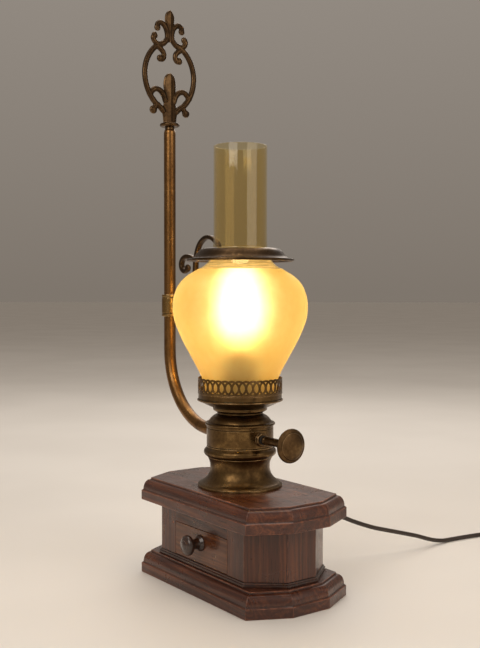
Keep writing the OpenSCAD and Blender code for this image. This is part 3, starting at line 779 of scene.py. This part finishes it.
CORD_R = 2.5
ROUTE = [
    (0, 80, EXIT_Z), (1, 95, 58.5), (3, 110, 58.5), (6, 125, 57), (9, 140, 53.5), (11, 155, 47),
    (13, 170, 41), (16, 187, 35), (18, 203, 30.5), (20, 220, 25.8), (21, 237, 21), (21.5, 254, 16),
    (22, 270, 10.5), (22, 285, 6), (22, 300, 3.3), (22, 315, 2.5), (24, 332, 2.5), (26.5, 350, 2.5),
    (29.5, 367, 2.5), (33, 383, 2.5), (36, 398, 2.5), (37.5, 412, 2.5),
]
PLUG_X, PLUG_Z = 102.5, 7
TAIL = [
    (PLUG_X, y, z) for y, z in ((412, 12.5), (406, 12.2), (399, 10.5), (392, 8.6), (385, 7.4), (378, PLUG_Z))
]
COIL = (70, 412)
# Where each turn of the coil ends: its radius and its height, wound from the outside in and back out
SLOTS = [
    (32.5, 2.5), (27.5, 2.5), (22.5, 2.5), (22.5, 7.5), (22.5, 12.5),
    (27.5, 12.5), (27.5, 7.5), (32.5, 7.5), (32.5, 12.5),
]


def coil_path(per_turn=40):
    """Starts at the route's end, at the coil's left side. Each turn keeps to its slot and moves on to the
    next one in its last quarter."""
    out = []
    last = len(SLOTS) - 1
    for i in range(1, round((last + 0.5) * per_turn)):
        turn = i / per_turn
        k = min(int(turn), last - 1) if turn < last else last
        (r0, z0), (r1, z1) = SLOTS[k], SLOTS[min(k + 1, last)]
        t = min(max((turn - k - 0.75) / 0.25, 0), 1)
        t = t * t * (3 - 2 * t)
        r, z = r0 + (r1 - r0) * t, z0 + (z1 - z0) * t
        a = math.pi - TURN * turn
        out.append((COIL[0] + r * math.cos(a), COIL[1] + r * math.sin(a), z))
    return out


def make_cord():
    path = curve(ROUTE, 3)[:-1] + [ROUTE[-1]] + coil_path() + curve(TAIL, 3)
    ob = tidy_normals(build("power_cord", *swept(path, CORD_R, 14)))
    dress(ob, "cord", "lamp", "cord_cover", "supply_cord", "cord_coil")
    length = sum((Vector(b) - Vector(a)).length for a, b in zip(path, path[1:]))
    return ob, [(x * MM, y * MM, z * MM) for x, y, z in path], length * MM


def make_cord_ends():
    """The strain reliefs, the plug and the tie on the cord."""
    reliefs = []
    for node, x, z in (("strain_relief", 0, EXIT_Z), ("plug_relief", PLUG_X, PLUG_Z)):
        y0, y1 = span(node, "y")
        place = aimed((x, y0, z), -QUARTER, "X")
        name, outline = node + "_ribbed", relief_outline(y1 - y0)
        reliefs.append(spun(node, name, outline, 0.3, 0.2, 40, place, "cord", slot="cord_cover"))
    return reliefs + [make_plug(), make_pins(), make_tie()]


def relief_outline(length):
    """A cone of rubber with rings moulded round it, its wide end first."""
    outline = [(0, 0), (5.2, 0)]
    pitch = 2.9
    for i in range(int((length - 4) / pitch)):
        at = 1.6 + i * pitch
        wide = 5.35 - 2.2 * at / length
        outline += [(wide, at), (wide, at + 1.5), (wide - 0.55, at + 1.8), (wide - 0.55, at + 2.6)]
    return outline + [(3.15, length - 1.2), (3.1, length), (0, length)]


def make_plug():
    """A flat two-pin plug: hexagonal in plan, with a waist for the fingers and grip ribs."""
    (x0, x1), (y0, y1), top = span("plug_body", "x"), span("plug_body", "y"), high("plug_body", "z")
    mid, half = (x0 + x1) / 2, (x1 - x0) / 2
    # Along the plug: the place, the share of half its width, and half its height
    sections = [
        (y0, 0.93, 6.1), (y0 + 0.9, 0.985, 6.8), (y0 + 5, 1, 7), (y0 + 9, 0.96, 7),
        (y0 + 13, 0.83, 6.6), (y0 + 17, 0.70, 6.2), (y0 + 21, 0.62, 6.2), (y0 + 25, 0.54, 6.3),
        (y1 - 5, 0.45, 6.1), (y1 - 1.6, 0.36, 5.6), (y1, 0.33, 5.2),
    ]
    sections = [(y, half * share, tall) for y, share, tall in sections]
    rings = []
    for a, b in zip(sections, sections[1:]):
        rings += [tuple(p + (q - p) * t for p, q in zip(a, b)) for t in (0, 0.25, 0.5, 0.75)]
    rings.append(sections[-1])
    points, wear = [], []
    sides = 48
    for y, wide, tall in rings:
        grip = 0.35 * max(0.0, math.cos((y - y0 - 17) * TURN / 2.6)) if y0 + 11 < y < y0 + 25 else 0.0
        for k in range(sides):
            a = TURN * k / sides
            c, s = math.cos(a), math.sin(a)
            bulge = (abs(c) ** 5 + abs(s) ** 5) ** (-0.2)
            x, z = (wide - grip * abs(c)) * c * bulge, (tall - grip * abs(s)) * s * bulge * 0.995
            points.append((mid + x, y, top / 2 + z))
            wear.append(0.5 if grip else 0.1)
    ob = tidy_normals(build("plug_moulding", points, skin(len(rings), sides), wear))
    return dress(ob, "cord", "lamp", "cord_cover", "plug_body")


def make_pins():
    """Two round pins with domed tips, thicker at their roots where the plastic sleeves sit, though all in the
    steel finish.
    """
    (x0, x1), (y0, y1) = span("plug_pins", "x"), span("plug_pins", "y")
    mid, reach, length = (x0 + x1) / 2, (x1 - x0) / 2 - 2, y1 - y0
    outline = [(0, 0), (1.98, 0), (1.98, 8.6), (1.86, 8.9), (1.86, length - 1.2), (1.2, length), (0, length)]
    profile = softened(outline, 0.5, spread=0.3)
    places = [aimed((mid + side * reach, y1, PLUG_Z), QUARTER, "X") for side in (-1, 1)]
    ob = joined("plug_pins_pair", [lathe("pin", profile, 28, place=place) for place in places])
    return dress(ob, "steel", "lamp", "steel", "plug_pins")


def make_tie():
    """A band of soft wire wrapped round the coil, with its ends twisted together."""
    a = math.radians(110)
    out, along = Vector((math.cos(a), math.sin(a), 0)), Vector((-math.sin(a), math.cos(a), 0))
    up = Vector((0, 0, 1))
    centre = Vector((COIL[0], COIL[1], 8.1)) + out * 27.5
    half_w, half_h = 8.5, 7.35
    loop, steps = [], 56
    for i in range(steps + 1):
        t = TURN * i / steps
        c, s = math.cos(t), math.sin(t)
        bulge = (abs(c) ** 6 + abs(s) ** 6) ** (-1 / 6)
        loop.append(centre + out * (half_w * c * bulge) + up * (half_h * s * bulge))
    parts = [swept([p + along * gap for p in loop], 0.72, 10) for gap in (0, 1.6)]
    knot = centre + up * (half_h + 0.1) + along * 0.8
    for phase in (0, math.pi):
        twist = []
        for i in range(18):
            b = phase + i * 1.15
            twist.append(knot + along * (i * 0.42) + (out * math.cos(b) + up * (0.35 * math.sin(b))) * 0.55)
        parts.append(swept(twist, 0.42, 8))
    ob = tidy_normals(build("cord_tie_wire", *gathered(parts)))
    return dress(ob, "black", "lamp", "black_plastic", "cord_tie")


def joined(name, parts):
    bm = bmesh.new()
    for part in parts:
        bm.from_mesh(part.data)
        bpy.data.objects.remove(part)
    data = bpy.data.meshes.new(name)
    bm.to_mesh(data)
    bm.free()
    return even(linked(name, data))


# ---------------------------------------------------------------- the wooden case


SCREW_PLACES = [(x, y) for x in (-80, 80) for y in (-25, 25)]


def board_profile(z):
    outline = [(30, 0), (0, 0), (0, 10.3)]
    for a in range(0, 91, 10):
        t = math.radians(a)
        outline.append((1.8 + 6.1 * (1 - math.cos(t)), 11.5 + 10.8 * math.sin(t)))
    outline += [(9.1, 22.3), (9.1, 24.5), (34, 24.5)]
    return [(-d, h, w) for d, h, w in softened([(-d, h) for d, h in raised(outline, z)], 0.7)]


def make_boards():
    corners = eight(high("top_board", "x"), high("top_board", "y"), 98, 23.5)
    for node, look in (("base_board", "board_low"), ("top_board", "board")):
        ob = moulded(node + "_moulded", corners, board_profile(low(node, "z")), corner=1.2)
        if node == "base_board":
            hole = [(0, 0, 0), (4.6, 0, 0), (4.6, 2.9, 0), (0, 2.9, 0)]
            for x, y in SCREW_PLACES:
                cut(ob, lathe("hole", hole, 32, place=Matrix.Translation((x, y, -1))))
            even(ob)
        dress(ob, look, "lamp", "walnut", node)


def make_screws():
    """Four countersunk screws under the base, each with a slot turned its own way."""
    z = low("base_screws", "z")
    outline = [(0, z), (4.1, z), (4.2, z + 1.9), (1.65, z + 3.4), (1.65, 44), (0, 44.5)]
    profile = softened(outline, 0.25, spread=0.3)
    parts = []
    for x, y in SCREW_PLACES:
        screw = lathe("screw", profile, 28, place=Matrix.Translation((x, y, 0)))
        turn = aimed((x, y, 0), 0.5 + x / 80 * 0.9 + y / 25 * 0.4, "Z")
        parts.append(cut(screw, block("slot", (-6, -0.45, z - 1), (6, 0.45, z + 1.1), turn)))
    dress(joined("base_screws_slotted", parts), "steel", "lamp", "steel", "base_screws")


def make_case():
    corners = eight(high("case_corners", "x"), high("case_corners", "y"), 77, 18)
    outline = [(0, 0), (-2.4, 0), (-2.4, 2.6), (-1.2, 3.6), (-1.2, 4.6), (0, 5.3)]
    profile = softened(raised(outline, low("foot_bead", "z")), 0.5, closed=True, spread=0.3)
    bead = moulded("foot_bead_moulded", corners, profile, closed=True, corner=0.8)
    dress(bead, "bead", "lamp", "dark_wood", "foot_bead")
    for node in ("case_back", "front_rail_top", "front_rail_bottom"):
        dress(bevelled(node, 0.35), "rail", "lamp", "walnut", node)
    for node in ("case_end_left", "case_end_right", "case_corners", "front_stile_left", "front_stile_right"):
        dress(bevelled(node, 0.35), "panel", "lamp", "walnut", node)
    repaint("inner_z", "glue_blocks")
    repaint("inner_y", "drawer_runner_left", "drawer_runner_right")


def make_drawer():
    dress(bevelled("drawer_front", 0.9), "front", "drawer", "walnut", "drawer_front")
    looks = {"side_left": "inner_y", "side_right": "inner_y", "back": "inner", "floor": "inner"}
    for panel, look in looks.items():
        node = "drawer_" + panel
        dress(bevelled(node, 0.4), look, "drawer", "inner_wood", node)
    place = aimed((0, high("drawer_knob", "y"), KNOB_Z), QUARTER, "X")
    outline = [(0, 0), (8.5, 0), (8.5, 1.2), (7.9, 2.0), (6, 4), (5, 7), (5, 11)]
    outline += arc((6.5, 16), 4, -60, 62, 10)
    outline += [(7.4, 20.2), (6.2, 20.7), (5.6, 20.9), (5.1, 20.75), (4.0, 21.35), (2.0, 21.8), (0, 21.9)]
    spun("drawer_knob", "drawer_knob_turned", outline, 0.4, 0.6, 72, place, "knob", "drawer", "knob_wood")
    repaint("steel", "drawer_knob_screw")


# ---------------------------------------------------------------- the brass body


def make_foot():
    z = low("foot_skirt", "z")
    outline = [(45.6, z), (45.6, z + 2.2)] + arc((51.2, 128), 19.1, 247, 148, 26) + [(35, 138.8)]
    spun("foot_skirt", "foot_spun", sheet(outline, 1.3), 0.4, 1.0)
    z = low("bead_ring", "z")
    outline = [(32, z), (35.4, z), (35.9, z + 0.5), (36.2, z + 0.9)] + arc((34.6, 143.8), 4.4, -62, 62, 14)
    outline += [(36.4, 148.0), (35.9, 148.5), (35.4, 149), (32, 149)]
    spun("bead_ring", "bead_ring_turned", outline, 0.4, 0.5)


def make_drum():
    z0, z1 = span("drum", "z")
    outline = raised([(35.9, 0), (35.9, 1.1), (35.45, 1.4), (35.45, 1.9), (35.9, 2.2), (35.95, 4)], z0)
    outline += [(36, (z0 + z1) / 2)]
    outline += raised([(35.95, -3.4), (35.5, -3.0), (35.5, -2.5), (35.9, -2.2), (35.9, 0), (34.7, 0)], z1)
    spun("drum", "drum_spun", outline + [(34.7, z0)], 0.25, 0.6)
    outline = [(35.8, z1)] + arc((36.2, z1 + 1.4), 1.5, -60, 75, 10) + [(35.2, z1 + 2.75)]
    outline += arc((20.5, z1 - 3), 15, 26, 73, 16) + [(23.6, high("drum_dome", "z"))]
    spun("drum_dome", "dome_spun", sheet(outline, 1.2), 0.3, 0.5)


def make_gallery():
    outline = [(22.6, 0)] + arc((23.4, 1.4), 1.3, -80, 80, 8)
    outline += [
        (25.0, 2.75), (26.8, 3.2), (28.6, 4.3), (29, 4.9), (29.3, 7.4), (30.0, 7.9), (33, 9.0), (37, 10.9),
        (41.2, 12.9), (45.0, 14.3), (46.2, 15.1), (46.15, 16.0), (45.2, 16.5), (44.8, 17.2), (44.8, 22.2),
        (43.4, 22.2), (43.4, 15.8), (41.5, 14), (37, 14), (37, 12.6), (28, 8.8), (27.7, 6), (22.6, 3.6),
        (5.1, 3.6), (5.1, 0),
    ]
    spun("gallery_cup", "gallery_cup_spun", raised(outline, low("gallery_cup", "z")), 0.35, 0.8)
    z0, z1 = span("gallery_band", "z")
    outer = high("gallery_band", "x")
    rim = [(-1.1, 0), (0, 0), (0, 1.3), (-0.3, 1.7), (-1.1, 1.7)]
    rim = [(outer + r, z0 + z) for r, z in rim]
    band = lathe("band", softened(rim, 0.25, closed=True, spread=0.3), 152, closed=True)
    loops, steps, strip = 38, 40, 2.2
    big = (z1 - z0 - 0.6 - strip) / 2
    mid = z1 - strip / 2 - big
    middle_r = outer - 0.62
    pieces = []
    for i in range(loops):
        ring = []
        for k in range(steps):
            t = TURN * k / steps
            a = TURN * i / loops + big * math.cos(t) / middle_r
            ring.append((middle_r * math.cos(a), middle_r * math.sin(a), mid + big * math.sin(t)))
        pieces.append(swept_ring(ring, strip / 2, 0.52))
    ob = tidy_normals(joined("gallery_pierced", [band, build("loops", *gathered(pieces))]))
    dress(ob, "brass", "lamp", "aged_brass", "gallery_band")


def swept_ring(path, wide, deep):
    """A closed ring of stamped strip along a loop that lies on a drum about Z."""
    path = [Vector(p) for p in path]
    points = []
    section = [(1, 0.45), (0.8, 1), (-0.8, 1), (-1, 0.45), (-1, -0.45), (-0.8, -1), (0.8, -1), (1, -0.45)]
    for i, p in enumerate(path):
        way = (path[(i + 1) % len(path)] - path[i - 1]).normalized()
        out = Vector((p.x, p.y, 0)).normalized()
        side = way.cross(out).normalized()
        points += [p + side * wide * a + out * deep * b for a, b in section]
    return points, skin(len(path), len(section), closed=True)


def make_switch():
    """The thin shaft and the large round knob that turns it."""
    axis = aimed((0, 0, SWITCH_Z), QUARTER, "Y")
    x0, x1 = span("switch_nut", "x")
    outline = raised([(3.2, 0), (7.2, 0), (7.2, 0.8), (6.6, 1.2), (6.6, 1.6), (7.1, 2.0)], x0)
    outline += [(7.1, x1 - 0.7), (6.4, x1), (3.2, x1)]
    spun("switch_nut", "switch_collar", outline, 0.3, 0.3, 60, axis, "switch")
    outline = [(0, 44.1), (4.5, 44.1), (4.5, 46.2), (4.2, 46.6), (4.2, 58), (4.2, 73), (5.7, 73.8)]
    outline += [(6.1, 75.4), (5.7, 77.0), (4.8, 78), (5.2, 79.6), (6.5, 82.0), (9.6, 83.1), (13.5, 83.8)]
    outline += arc((15.7, 86.2), 1.8, -88, 80, 10)
    outline += [(14.6, 88.3), (13.9, 88.7), (13.2, 89.5), (11, 90.3), (8.4, 90.9), (5, 91.35), (0, 91.5)]
    spun("switch_knob", "switch_knob_turned", outline, 0.35, 0.8, 96, axis, "switch", "switch")
    repaint("steel", "switch_shaft")
    repaint("black", "switch_body")


# ---------------------------------------------------------------- the bent tube and its finial


def make_post():
    post = low("bent_tube", "x") + 7
    path = [(-27, 0, SWITCH_Z), (-40, 0, SWITCH_Z)]
    path += [(x, 0, z) for x, z in arc((-57, 245.5), 85, -90, -180, 40)]
    path += [(post, 0, z) for z in (262, 300, 360, 420, 470, 503)]
    ob = tidy_normals(build("post_tube", *swept(path, 6.98, 40)))
    dress(ob, "tube", "lamp", "aged_brass", "bent_tube")
    repaint("steel", "tube_locknut")
    outline = [(0, 0), (9.6, 0)] + arc((9.6, 2.25), 2.15, -78, 78, 10) + [(9.4, 4.45), (8.6, 4.5), (0, 4.5)]
    place = Matrix.Translation((post, 0, low("finial_collar", "z")))
    spun("finial_collar", "finial_collar_turned", outline, 0.25, 0.4, 64, place, "bronze", slot="bronze")
    return post


def petal(outline, thick, post, foot):
    """A bud or stem cut from a half outline: full at its middle, thin at its rim, with a ridge."""
    points = []
    for half, z in outline:
        row = []
        for t in (-1.0, -0.85, -0.6, -0.3, 0.0, 0.3, 0.6, 0.85, 1.0):
            ridge = 0.82 + 0.18 * (1 - min(1.0, abs(t) / 0.3))
            depth = thick * ridge * max(0.0, 1 - abs(t) ** 3.2) ** 0.5
            row.append((t * max(half, 0.05), depth))
        points += [(post + depth, y, foot + z) for y, depth in row]
        points += [(post - depth, y, foot + z) for y, depth in row[-2:0:-1]]
    return points, skin(len(outline), len(points) // len(outline))


def make_finial(post):
    foot = high("finial_collar", "z")
    # Half of the ornament, seen from +X: each stroke's points and its radius, then the balls
    ring = [
        (9, 14), (14, 18.5), (21, 23.5), (26.5, 30.5), (31, 39.5), (33.6, 50), (33.8, 60), (31.5, 70),
        (27, 79), (20.5, 86.5), (13, 91.5),
    ]
    fork = [(13, 91.5), (8, 93.5), (3.5, 98.5), (3.5, 106), (6.5, 113), (12, 116.5), (16.5, 114), (17, 109.5)]
    lines = [
        (ring, 3.55),
        ([(17, 88.5), (12.5, 86), (8.5, 82), (8, 77), (10.5, 74), (13.5, 74.5)], 3.4),
        ([(23.5, 27), (19.5, 22), (20, 17), (22.6, 13.8)], 3.3),
        ([(6, 26), (8.5, 32.5), (13.5, 37.5), (19.5, 38.5), (24, 35.5), (27.5, 32)], 3.5),
        (fork, 3.35),
        ([(3.5, 98.5), (8.5, 92.6), (14.5, 91), (20, 93), (22.6, 97.5), (20.5, 100.5)], 3.35),
    ]
    balls = [(13.2, 74.8, 4.4), (22.6, 13.8, 5.0), (16.8, 110, 4.1), (20.5, 100.5, 4.1), (27.0, 32.4, 4.5)]
    parts = []
    for side in (-1, 1):
        for line, wide in lines:
            path = [(post, side * y, foot + z) for y, z in curve(line, 5)]
            parts.append(swept(path, lambda t: wide * (1 - 0.05 * t), 16, 0.88, (1, 0, 0)))
        for y, z, r in balls:
            parts.append(ball((post, side * y, foot + z), r, min(1.0, 3.1 / r)))
    buds = [
        [(9, 0.2), (9.6, 6), (10.4, 14), (8.4, 24), (7.6, 34), (9, 44), (7.4, 53), (3.8, 57.6), (0.8, 58.6)],
        [(0.8, 95.2), (3.8, 98.6), (6.2, 104), (5.6, 114), (6.7, 121), (6, 127), (3.3, 130.9), (0.6, 132.2)],
    ]
    parts += [petal(curve(bud, 4), 2.98, post, foot) for bud in buds]
    for y in (-4.9, 4.9):
        vein = [(post, y * k, foot + z) for k, z in ((1.15, 4), (1.0, 14), (0.72, 24), (0.62, 34), (0.5, 42))]
        parts.append(swept(curve(vein, 4), 1.0, 10))
    ob = fused(build("finial_cast", *gathered(parts)), 0.5)
    z = low("finial", "z")
    outline = [(0, z, 0), (5.6, z, 0), (5.6, foot + 1, 0), (0, foot + 1, 0)]
    peg = lathe("peg", outline, 40, place=Matrix.Translation((post, 0, 0)))
    dress(joined("finial_cast_bronze", [ob, peg]), "bronze", "lamp", "bronze", "finial")


# ---------------------------------------------------------------- the sliding collar


def make_collar(post):
    make_sleeve(post)
    rim = low("chimney_collar", "z")
    make_bracket(rim)
    top = [
        (31.2, 14.4), (34.5, 14.35), (39, 13.9), (42.3, 12.9), (44.6, 11.3), (46.4, 9.2), (47.9, 7.0),
        (49.4, 5.0), (51.2, 3.7), (53, 3.0), (54.8, 2.75),
    ]
    loop = [(54.7, rim + 1.1)] + arc((56.3, rim + 1.45), 1.42, -150, 100, 14) + raised(top, rim)[::-1]
    loop += [(30.0, rim + 14.1), (30.0, rim + 13.2)] + raised(beside(top, -1.3), rim)[:-1]
    spun("chimney_collar", "chimney_collar_spun", loop, 0.3, 0.6, 128, None, "bronze", "collar", "bronze")
    outline = [(0, 0), (1.2, 0), (1.2, 1.9), (1.5, 2.0), (1.3, 2.6), (0.7, 2.95), (0, 3)]
    outline = raised(outline, low("collar_rivet", "z"))
    place = Matrix.Translation((-38.5, 0, 0))
    spun("collar_rivet", "rivet_domed", outline, 0.1, 0.1, 28, place, "bright", "collar", "bright_brass")


def make_sleeve(post):
    z0, z1 = span("sleeve", "z")
    edge = [(7.1, 0), (9.1, 0), (9.7, 0.6), (9.7, 2.6), (9.2, 3.1), (9.2, 3.7), (9.6, 4.2)]
    outline = [(r, z0 + h) for r, h in edge] + [(r, z1 - h) for r, h in edge[::-1]]
    place = Matrix.Translation((post, 0, 0))
    spun("sleeve", "sleeve_turned", outline, 0.3, 0.5, 72, place, "bright", "collar", "bright_brass")
    mid = (z0 + z1) / 2
    x = low("sleeve_screw", "x")
    profile = softened([(0, 0), (1.1, 0), (1.45, 0.3), (1.45, 2.1), (0, 2.1)], 0.15, spread=0.1)
    screw = lathe("screw", profile, 28, place=aimed((x, 0, mid), QUARTER, "Y"))
    cut(screw, block("slot", (x - 1, -2, mid - 0.25), (x + 0.6, 2, mid + 0.25)))
    dress(even(screw), "steel", "collar", "steel", "sleeve_screw")


def make_bracket(rim):
    """The arm from the sleeve to the collar, and the scroll that curls off it."""
    arm = [
        (-133.5, -49.5), (-120, -48.5), (-105, -41.5), (-93, -28.5), (-87.5, -13.5), (-86, 0.5), (-83, 12.5),
        (-77.5, 21.5), (-69, 27.1), (-60, 28.7), (-51, 26.5), (-43, 21), (-39.2, 15.6),
    ]
    scroll = [
        (-85.5, 3), (-95, 7), (-105, 8.1), (-112.5, 5.5), (-116, 0), (-114, -6), (-108, -9), (-102.5, -6.5),
    ]
    points, faces = ball((-102.8, 0, rim - 5.4), 4.9)
    parts = [
        strap([(x, 0, rim + z) for x, z in curve(arm, 6)], lambda t: 5.9 - 1.1 * t, 6.0),
        strap([(x, 0, rim + z) for x, z in curve(scroll, 6)], 5.6, 6.0),
        ([Vector((p[0], p[1] * 0.62, p[2])) for p in points], faces),
        swept([(-133.4, 0, rim - 52), (-132.6, 0, rim - 47)], 2.35, 14),
        swept([(-41, 0, rim + 15.2), (-37.4, 0, rim + 15.0)], 1.5, 14),
    ]
    ob = fused(build("bracket_cast", *gathered(parts)), 0.42)
    dress(ob, "bronze", "collar", "bronze", "scroll_bracket")


# ---------------------------------------------------------------- glass, lampholder, bulb


def make_glass():
    """One piece of glass: frosted on the outside up to the shoulder, clear everywhere else."""
    top, chimney_r = 470.4, 28.7
    outline = [
        (39, 198), (39.3, 210), (41, 222.5), (50.6, 241.9), (62.1, 263.5), (70.4, 284), (72.3, 299),
        (70.8, 311), (66, 322.5), (58, 331.3), (47.5, 338), (39, 342.6), (33.4, 348.5), (30, 356.5),
        (28.9, 367), (chimney_r, 385), (chimney_r, top),
    ]
    steps = 8
    outer = curve(outline, steps)[:-steps] + [(chimney_r, z) for z in (400, 415, 430, 445, 460, top)]
    inner = beside(outer, 1.55)
    rim = [(chimney_r, 469.9), (28.2, 470.35), (27.7, 470.35), (27.15, 469.9)]
    shell = [(r, z, 0.0) for r, z in outer[:-1] + rim + inner[-2::-1]]
    ob = lathe("glass_blown", shell, 144, closed=True)
    dress(ob, "frost", "lamp", "amber_glass", "glass_shade")
    ob.data.materials.append(LOOKS["clear"])
    frosted_top = 339.2 * MM
    for face in ob.data.polygons:
        out = face.center.x * face.normal.x + face.center.y * face.normal.y > 0
        face.material_index = 0 if out and face.center.z < frosted_top else 1


def make_holder():
    z0, split = span("holder_cap", "z")
    outline = [(5.2, z0), (9.5, z0), (12.6, z0 + 2.4), (14, z0 + 5.4)]
    outline += [(14, split - 0.4), (13.4, split), (5.2, split)]
    black = {"look": "black", "slot": "black_plastic"}
    spun("holder_cap", "holder_cap_moulded", outline, 0.5, 0.5, 72, **black)
    z1 = high("holder_shell", "z")
    outline = [(12.0, split), (13.7, split), (14, split + 0.4)]
    z = split + 3
    while z < z1 - 8:
        outline += raised([(14, 0), (13.5, 0.5), (13.5, 1.3), (14, 1.8)], z)
        z += 3.2
    outline += [(14, z1 - 1), (13.4, z1), (12.0, z1)]
    spun("holder_shell", "holder_shell_ringed", outline, 0.2, 0.2, 72, **black)
    make_bulb()
    repaint("ceramic", "holder_insert")
    repaint("filament", "bulb_filament")
    repaint("steel", "threaded_rod", "rod_washer", "rod_nuts")
    repaint("black", "inner_cable", "cord_bush")


def make_bulb():
    z0, z = span("bulb_cap", "z")
    outline = raised([(0, 0), (2.6, 0), (3.4, 2.2), (5.9, 4)], z0)
    for i in range(6):
        outline += raised([(6.2, 0), (6.75, 0.9), (6.75, 1.4), (6.2, 2.3)], z0 + 5 + i * 3)
    outline += [(6.6, z - 2.4), (7.1, z - 0.2), (6.9, z), (0, z)]
    spun("bulb_cap", "bulb_cap_threaded", outline, 0.3, 0.2, 64, None, "bright", slot="steel")
    outline = [
        (7, 0), (8.6, 6), (14.5, 16), (17.5, 29), (16.6, 43), (12.6, 57), (7, 67), (3, 73), (0.8, 75.6),
    ]
    outline = curve(raised(outline, z), 6)
    profile = [(0, z, 0)] + [(r, h, 0.0) for r, h in outline] + [(0, z + 75.9, 0)]
    dress(lathe("bulb_blown", profile, 72), "bulb", "lamp", "bulb_glass", "bulb_glass")


def make_floor():
    """A round floor, wide enough for its edge to be the horizon."""
    sides, height = 64, -0.0001
    turns = [(math.cos(TURN * k / sides), math.sin(TURN * k / sides)) for k in range(sides)]
    radii = [0.15 * 1.35 ** i for i in range(18)]
    points = [(0, 0, height)] + [(r * c, r * s, height) for r in radii for c, s in turns]
    faces = [(0, 1 + k, 1 + (k + 1) % sides) for k in range(sides)]
    faces += [tuple(v + 1 for v in face[::-1]) for face in skin(len(radii), sides)[:-2]]
    data = bpy.data.meshes.new("floor")
    data.from_pydata(points, [], faces)
    data.materials.append(LOOKS["floor"])
    linked("floor", data)


def make_lights():
    world = bpy.data.worlds.new("studio")
    scene.world = world
    world.use_nodes = True
    tree = world.node_tree
    back = tree.nodes["Background"]
    back.inputs[1].default_value = 0.42
    ray = tree.nodes.new("ShaderNodeTexCoord")
    height = tree.nodes.new("ShaderNodeSeparateXYZ")
    fade = tree.nodes.new("ShaderNodeValToRGB")
    tree.links.new(ray.outputs["Generated"], height.inputs[0])
    tree.links.new(height.outputs["Z"], fade.inputs[0])
    tree.links.new(fade.outputs[0], back.inputs[0])
    fade.color_ramp.elements[0].color = (0.50, 0.43, 0.36, 1)
    fade.color_ramp.elements[1].position = 0.30
    fade.color_ramp.elements[1].color = (0.68, 0.60, 0.52, 1)
    scene.view_settings.view_transform = "Standard"
    soft_light("key", (0.55, -1.35, 1.15), 1.1, 11.0, (1.0, 0.93, 0.85))
    soft_light("fill", (1.35, 0.35, 0.75), 1.2, 6.0, (1.0, 0.90, 0.80))
    soft_light("rim", (-1.0, 0.95, 1.25), 1.0, 7.0, (1.0, 0.94, 0.88))
    soft_light("overhead", (-0.4, 0.3, 3.2), 2.6, 42.0, (1.0, 0.94, 0.87))


make_camera()
cord, cord_path, cord_length = make_cord()
ends = make_cord_ends()
make_boards()
make_screws()
make_case()
make_drawer()
make_foot()
make_drum()
make_gallery()
make_switch()
post_x = make_post()
make_finial(post_x)
make_collar(post_x)
make_glass()
make_holder()
make_floor()
make_lights()
